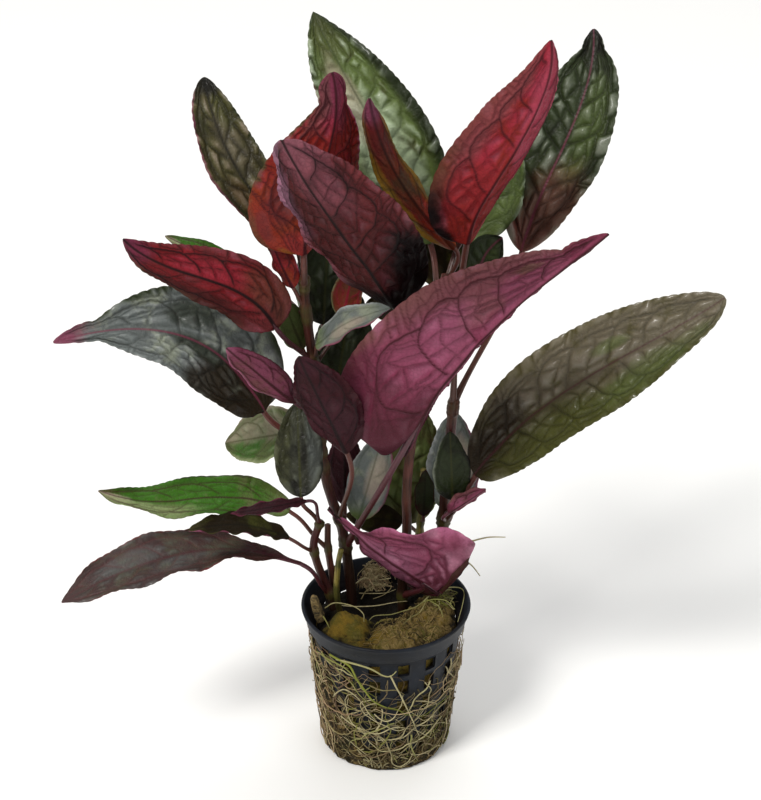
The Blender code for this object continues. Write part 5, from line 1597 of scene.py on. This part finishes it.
def build_strands(count, finish):
    """The strands that run over the pot's wall and the peat. Each step of a strand turns a
    little, it folds back at the foot and below the rim, and it lies in one of a few layers.
    edge is 0 in front, where the wall shows, and 1 at the sides and the back."""
    draw = np.random.default_rng(51)
    steps = STRAND_STEPS
    start = draw.choice(360, count, p=ROOT_DENSITY / ROOT_DENSITY.sum()) + draw.uniform(0, 1, count)
    edge = np.clip(np.abs((start - BARE_SIDE + 180) % 360 - 180) / 55 - 0.4, 0, 1)
    limit = np.minimum(mat_top(start) + draw.normal(0.5, 2.5, count), STRAND_LIMIT)
    begin = limit * draw.uniform(0.0, 1.0, count)**(1.0 - 0.4 * edge)
    heading = draw.normal(-90, 70 - 30 * edge, count) + 25 * edge * np.sign(start - BARE_SIDE)
    bend = np.cumsum(draw.normal(0, 15, (count, steps)) + draw.normal(0, 5, count)[:, None], axis=1)
    stride = (draw.uniform(0.35, 1.1, count) - 0.15 * edge)[:, None]
    way = np.radians(heading[:, None] + bend)
    z = begin[:, None] + np.cumsum(stride * np.sin(way), axis=1)
    z = np.abs(z - 0.8) + 0.8
    ceiling = (limit + draw.uniform(0, 3, count))[:, None]
    z = np.minimum(ceiling - np.abs(ceiling - z), STRAND_CEILING)
    angle = np.radians(start)[:, None] + np.cumsum(stride * np.cos(way), axis=1) / MAT_RADIUS
    layer = draw.uniform(0.2, 1.2, count) + 0.9 * edge * draw.uniform(0, 1, count)
    wobble = 0.3 * np.sin(np.linspace(0, 7, steps) + draw.uniform(0, 6, count)[:, None])
    distance = wall_radius(z) + np.maximum(layer[:, None] + wobble, 0.15)
    thin = 0.09 + 0.14 * draw.uniform(0, 1, count)**2
    thin = thin[:, None] * (1 - 0.55 * np.linspace(0, 1, steps)**2)
    share = (draw.uniform(0, 1, count)**(1.0 - 0.3 * edge), draw.uniform(0, 1, count)**6,
             edge * draw.uniform(0, 1, count))
    add_threads("root_strands", around_pot(distance, angle, z), thin, around_pot(1.0, angle, 0.0), 5,
                share, finish, "roots", ("root_mat",))


def build_tuft(tuft, seed, finish):
    """A tuft of fine roots: threads that run across a low dome with a few slow curls"""
    draw = np.random.default_rng(seed)
    count = tuft.strands
    way = np.radians(tuft.way + tuft.spread * draw.normal(0, 1, count))
    ahead = np.stack((np.cos(way), np.sin(way), draw.normal(-0.1, 0.35, count)), -1)[:, None]
    mean = math.radians(tuft.way)
    start = np.stack((draw.normal(-0.55, 0.3, count) * math.cos(mean), draw.uniform(-0.6, 0.6, count),
                      draw.uniform(0.05, 1.0, count)), -1)[:, None]
    at = np.linspace(0, 1, TUFT_ROWS)
    reach = draw.uniform(0.7, 1.7, count)[:, None, None]
    phase = draw.uniform(0, 2 * math.pi, (count, 1, 3))
    turns = draw.uniform(2.0, 7.0, (count, 1, 3))
    bend = np.sin(turns * at[:, None] + phase) - np.sin(phase)
    dome = start + ahead * reach * at[:, None] + draw.uniform(0.05, 0.28, (count, 1, 3)) * bend
    size = np.linalg.norm(dome, axis=-1, keepdims=True)
    limit = draw.uniform(0.85, 1.15, (count, 1, 1))
    dome = dome * np.minimum(1.0, limit / np.maximum(size, 1e-6))
    dome[..., 2] = np.abs(dome[..., 2])
    paths = np.array((*tuft.middle, tuft.bottom)) + dome * (*tuft.half, tuft.top - tuft.bottom)
    thin = draw.uniform(0.06, 0.17, count)[:, None] * (1 - 0.5 * at**2)
    share = (draw.uniform(tuft.tone - 0.45, tuft.tone + 0.3, count),
             draw.uniform(0, 1, count)**2 * tuft.green, draw.uniform(0, 1, count) * (1 - tuft.green))
    add_threads(f"{tuft.name}_threads", paths, thin, (0.31, 0.17, 0.93), 5, share, finish, "roots",
                (tuft.name,))


def build_single_roots(finish):
    """The roots that stand out one by one, each a tube along its own smooth path, on the
    wool and on the wall of the pot"""
    rows = SINGLE_ROOT_ROWS
    routes = [smooth_path(root[0], rows) for root in SINGLE_ROOTS]
    for root in WALL_ROOTS:
        turn, height = smooth_path(root[0], rows).T
        away = wall_radius(height) + 1.3 + 0.4 * np.sin(height + turn / 9)
        routes.append(around_pot(away, np.radians(turn), height))
    radius, *share = zip(*(root[1:] for root in SINGLE_ROOTS + WALL_ROOTS))
    thin = 0.8 * np.array(radius)[:, None] * (1 - 0.55 * np.linspace(0, 1, rows)**2)
    add_threads("single_roots", np.stack(routes), thin, (0.21, -0.63, 0.75), 7, share, finish, "roots")


def build_air_root(name, path, finish):
    """A root in the open: a fine tube along its route that narrows to its tip"""
    thin = AIR_ROOT_RADIUS * (1 - 0.6 * np.linspace(0, 1, AIR_ROOT_ROWS))
    route = smooth_path(path, AIR_ROOT_ROWS)
    add_threads(f"{name}_thread", route[None], thin[None], (0.1, 1.0, 0.2), 8, (0.85,), finish,
                "roots", (name,))


def add_light(name, place, target, size, power, color):
    """A square soft light at a place, turned to look at a target"""
    lamp = bpy.data.lights.new(name, "AREA")
    lamp.size = size
    lamp.energy = power
    lamp.color = color
    holder = bpy.data.objects.new(name, lamp)
    holder.location = place
    way = np.array(target, float) - place
    flat = math.hypot(way[0], way[1])
    holder.rotation_euler = (math.atan2(flat, -way[2]), 0.0, math.atan2(-way[0], way[1]))
    bpy.context.scene.collection.objects.link(holder)


def build_stage():
    """The pale floor, the soft lights and the camera"""
    graph = Graph("pale_floor")
    graph.surface(colour("floor"), 0.9)
    corners = np.array(((-1, -1, 0), (1, -1, 0), (1, 1, 0), (-1, 1, 0))) * FLOOR_HALF_WIDTH
    floor = add_piece("floor", corners, (((0, 1, 2, 3),),), (graph.material,))
    for light in LIGHTS:
        add_light(*light)
    world = bpy.data.worlds.new("studio")
    world.use_nodes = True
    light = world.node_tree.nodes["Background"].inputs
    light["Color"].default_value = (1.0, 1.0, 1.0, 1.0)
    light["Strength"].default_value = WORLD_STRENGTH
    bpy.context.scene.world = world
    bpy.context.scene.view_settings.view_transform = "Standard"
    camera = bpy.data.cameras.new("camera")
    camera.lens = CAMERA_LENS
    camera.sensor_width = CAMERA_SENSOR
    camera.clip_start = 0.01
    eye = bpy.data.objects.new("camera", camera)
    eye.location = np.array(CAMERA_PLACE) * MM
    eye.rotation_euler = (math.radians(CAMERA_TILT), 0.0, 0.0)
    bpy.context.scene.collection.objects.link(eye)
    bpy.context.scene.camera = eye


class IVY_OT_pot(bpy.types.Operator):
    """Turn the net pot with its windows"""
    bl_idname = "ivy.pot"
    bl_label = "Pot"
    bl_options = {"REGISTER", "UNDO"}

    def execute(self, context):
        build_pot()
        return {"FINISHED"}


class IVY_OT_wool(bpy.types.Operator):
    """Fill the pot with stone wool, its loose fibres and the pale wedge"""
    bl_idname = "ivy.wool"
    bl_label = "Stone wool"
    bl_options = {"REGISTER", "UNDO"}

    def execute(self, context):
        finish = fibre_finish("wool_thread", "wool_pale", "wool_brown", "wool_dark")
        build_wool()
        build_fibres(context.scene.ivy.sizes.fibre_count, finish)
        build_wedge()
        return {"FINISHED"}


class IVY_OT_roots(bpy.types.Operator):
    """Grow the roots round the pot, the tufts on the wool and the roots in the air"""
    bl_idname = "ivy.roots"
    bl_label = "Roots"
    bl_options = {"REGISTER", "UNDO"}

    def execute(self, context):
        finish = fibre_finish("root_thread", "root_pale", "root", "root_dark")
        build_peat()
        build_strands(context.scene.ivy.sizes.root_count, finish)
        for seed, tuft in enumerate(TUFTS, 61):
            build_tuft(tuft, seed, finish)
        for name, path in AIR_ROOTS:
            build_air_root(name, path, finish)
        build_single_roots(finish)
        return {"FINISHED"}


class IVY_OT_stems(bpy.types.Operator):
    """Grow the stems"""
    bl_idname = "ivy.stems"
    bl_label = "Stems"
    bl_options = {"REGISTER", "UNDO"}

    def execute(self, context):
        for stem in STEMS:
            build_stem(stem)
        return {"FINISHED"}


class IVY_OT_leaves(bpy.types.Operator):
    """Grow the leaves with their veins and blisters"""
    bl_idname = "ivy.leaves"
    bl_label = "Leaves"
    bl_options = {"REGISTER", "UNDO"}

    def execute(self, context):
        for leaf in LEAVES:
            build_leaf(leaf, context.scene.ivy.sizes)
        return {"FINISHED"}


class IVY_OT_stage(bpy.types.Operator):
    """Set up the floor, the lights and the camera"""
    bl_idname = "ivy.stage"
    bl_label = "Stage"
    bl_options = {"REGISTER", "UNDO"}

    def execute(self, context):
        build_stage()
        return {"FINISHED"}


class IVY_PT_panel(bpy.types.Panel):
    """The plant's settings and the steps that build it"""
    bl_idname = "IVY_PT_panel"
    bl_label = "Red flame ivy"
    bl_space_type = "VIEW_3D"
    bl_region_type = "UI"
    bl_category = "Ivy"

    def draw(self, context):
        for group in (context.scene.ivy.sizes, context.scene.ivy.colors):
            column = self.layout.column()
            for key in group.__annotations__:
                column.prop(group, key)
        for step in STEPS:
            self.layout.operator(step.bl_idname)


STEPS = (IVY_OT_pot, IVY_OT_wool, IVY_OT_roots, IVY_OT_stems, IVY_OT_leaves, IVY_OT_stage)
CLASSES = (IvySizes, IvyColors, IvySettings, *STEPS, IVY_PT_panel)


def register():
    """Make the settings, the steps and the panel known to Blender"""
    for kind in CLASSES:
        bpy.utils.register_class(kind)
    bpy.types.Scene.ivy = bpy.props.PointerProperty(type=IvySettings)


def unregister():
    """Take them away again"""
    del bpy.types.Scene.ivy
    for kind in reversed(CLASSES):
        bpy.utils.unregister_class(kind)


def main():
    """Build the plant step by step"""
    register()
    for step in STEPS:
        group, name = step.bl_idname.split(".")
        getattr(getattr(bpy.ops, group), name)()


if __name__ == "__main__":
    main()
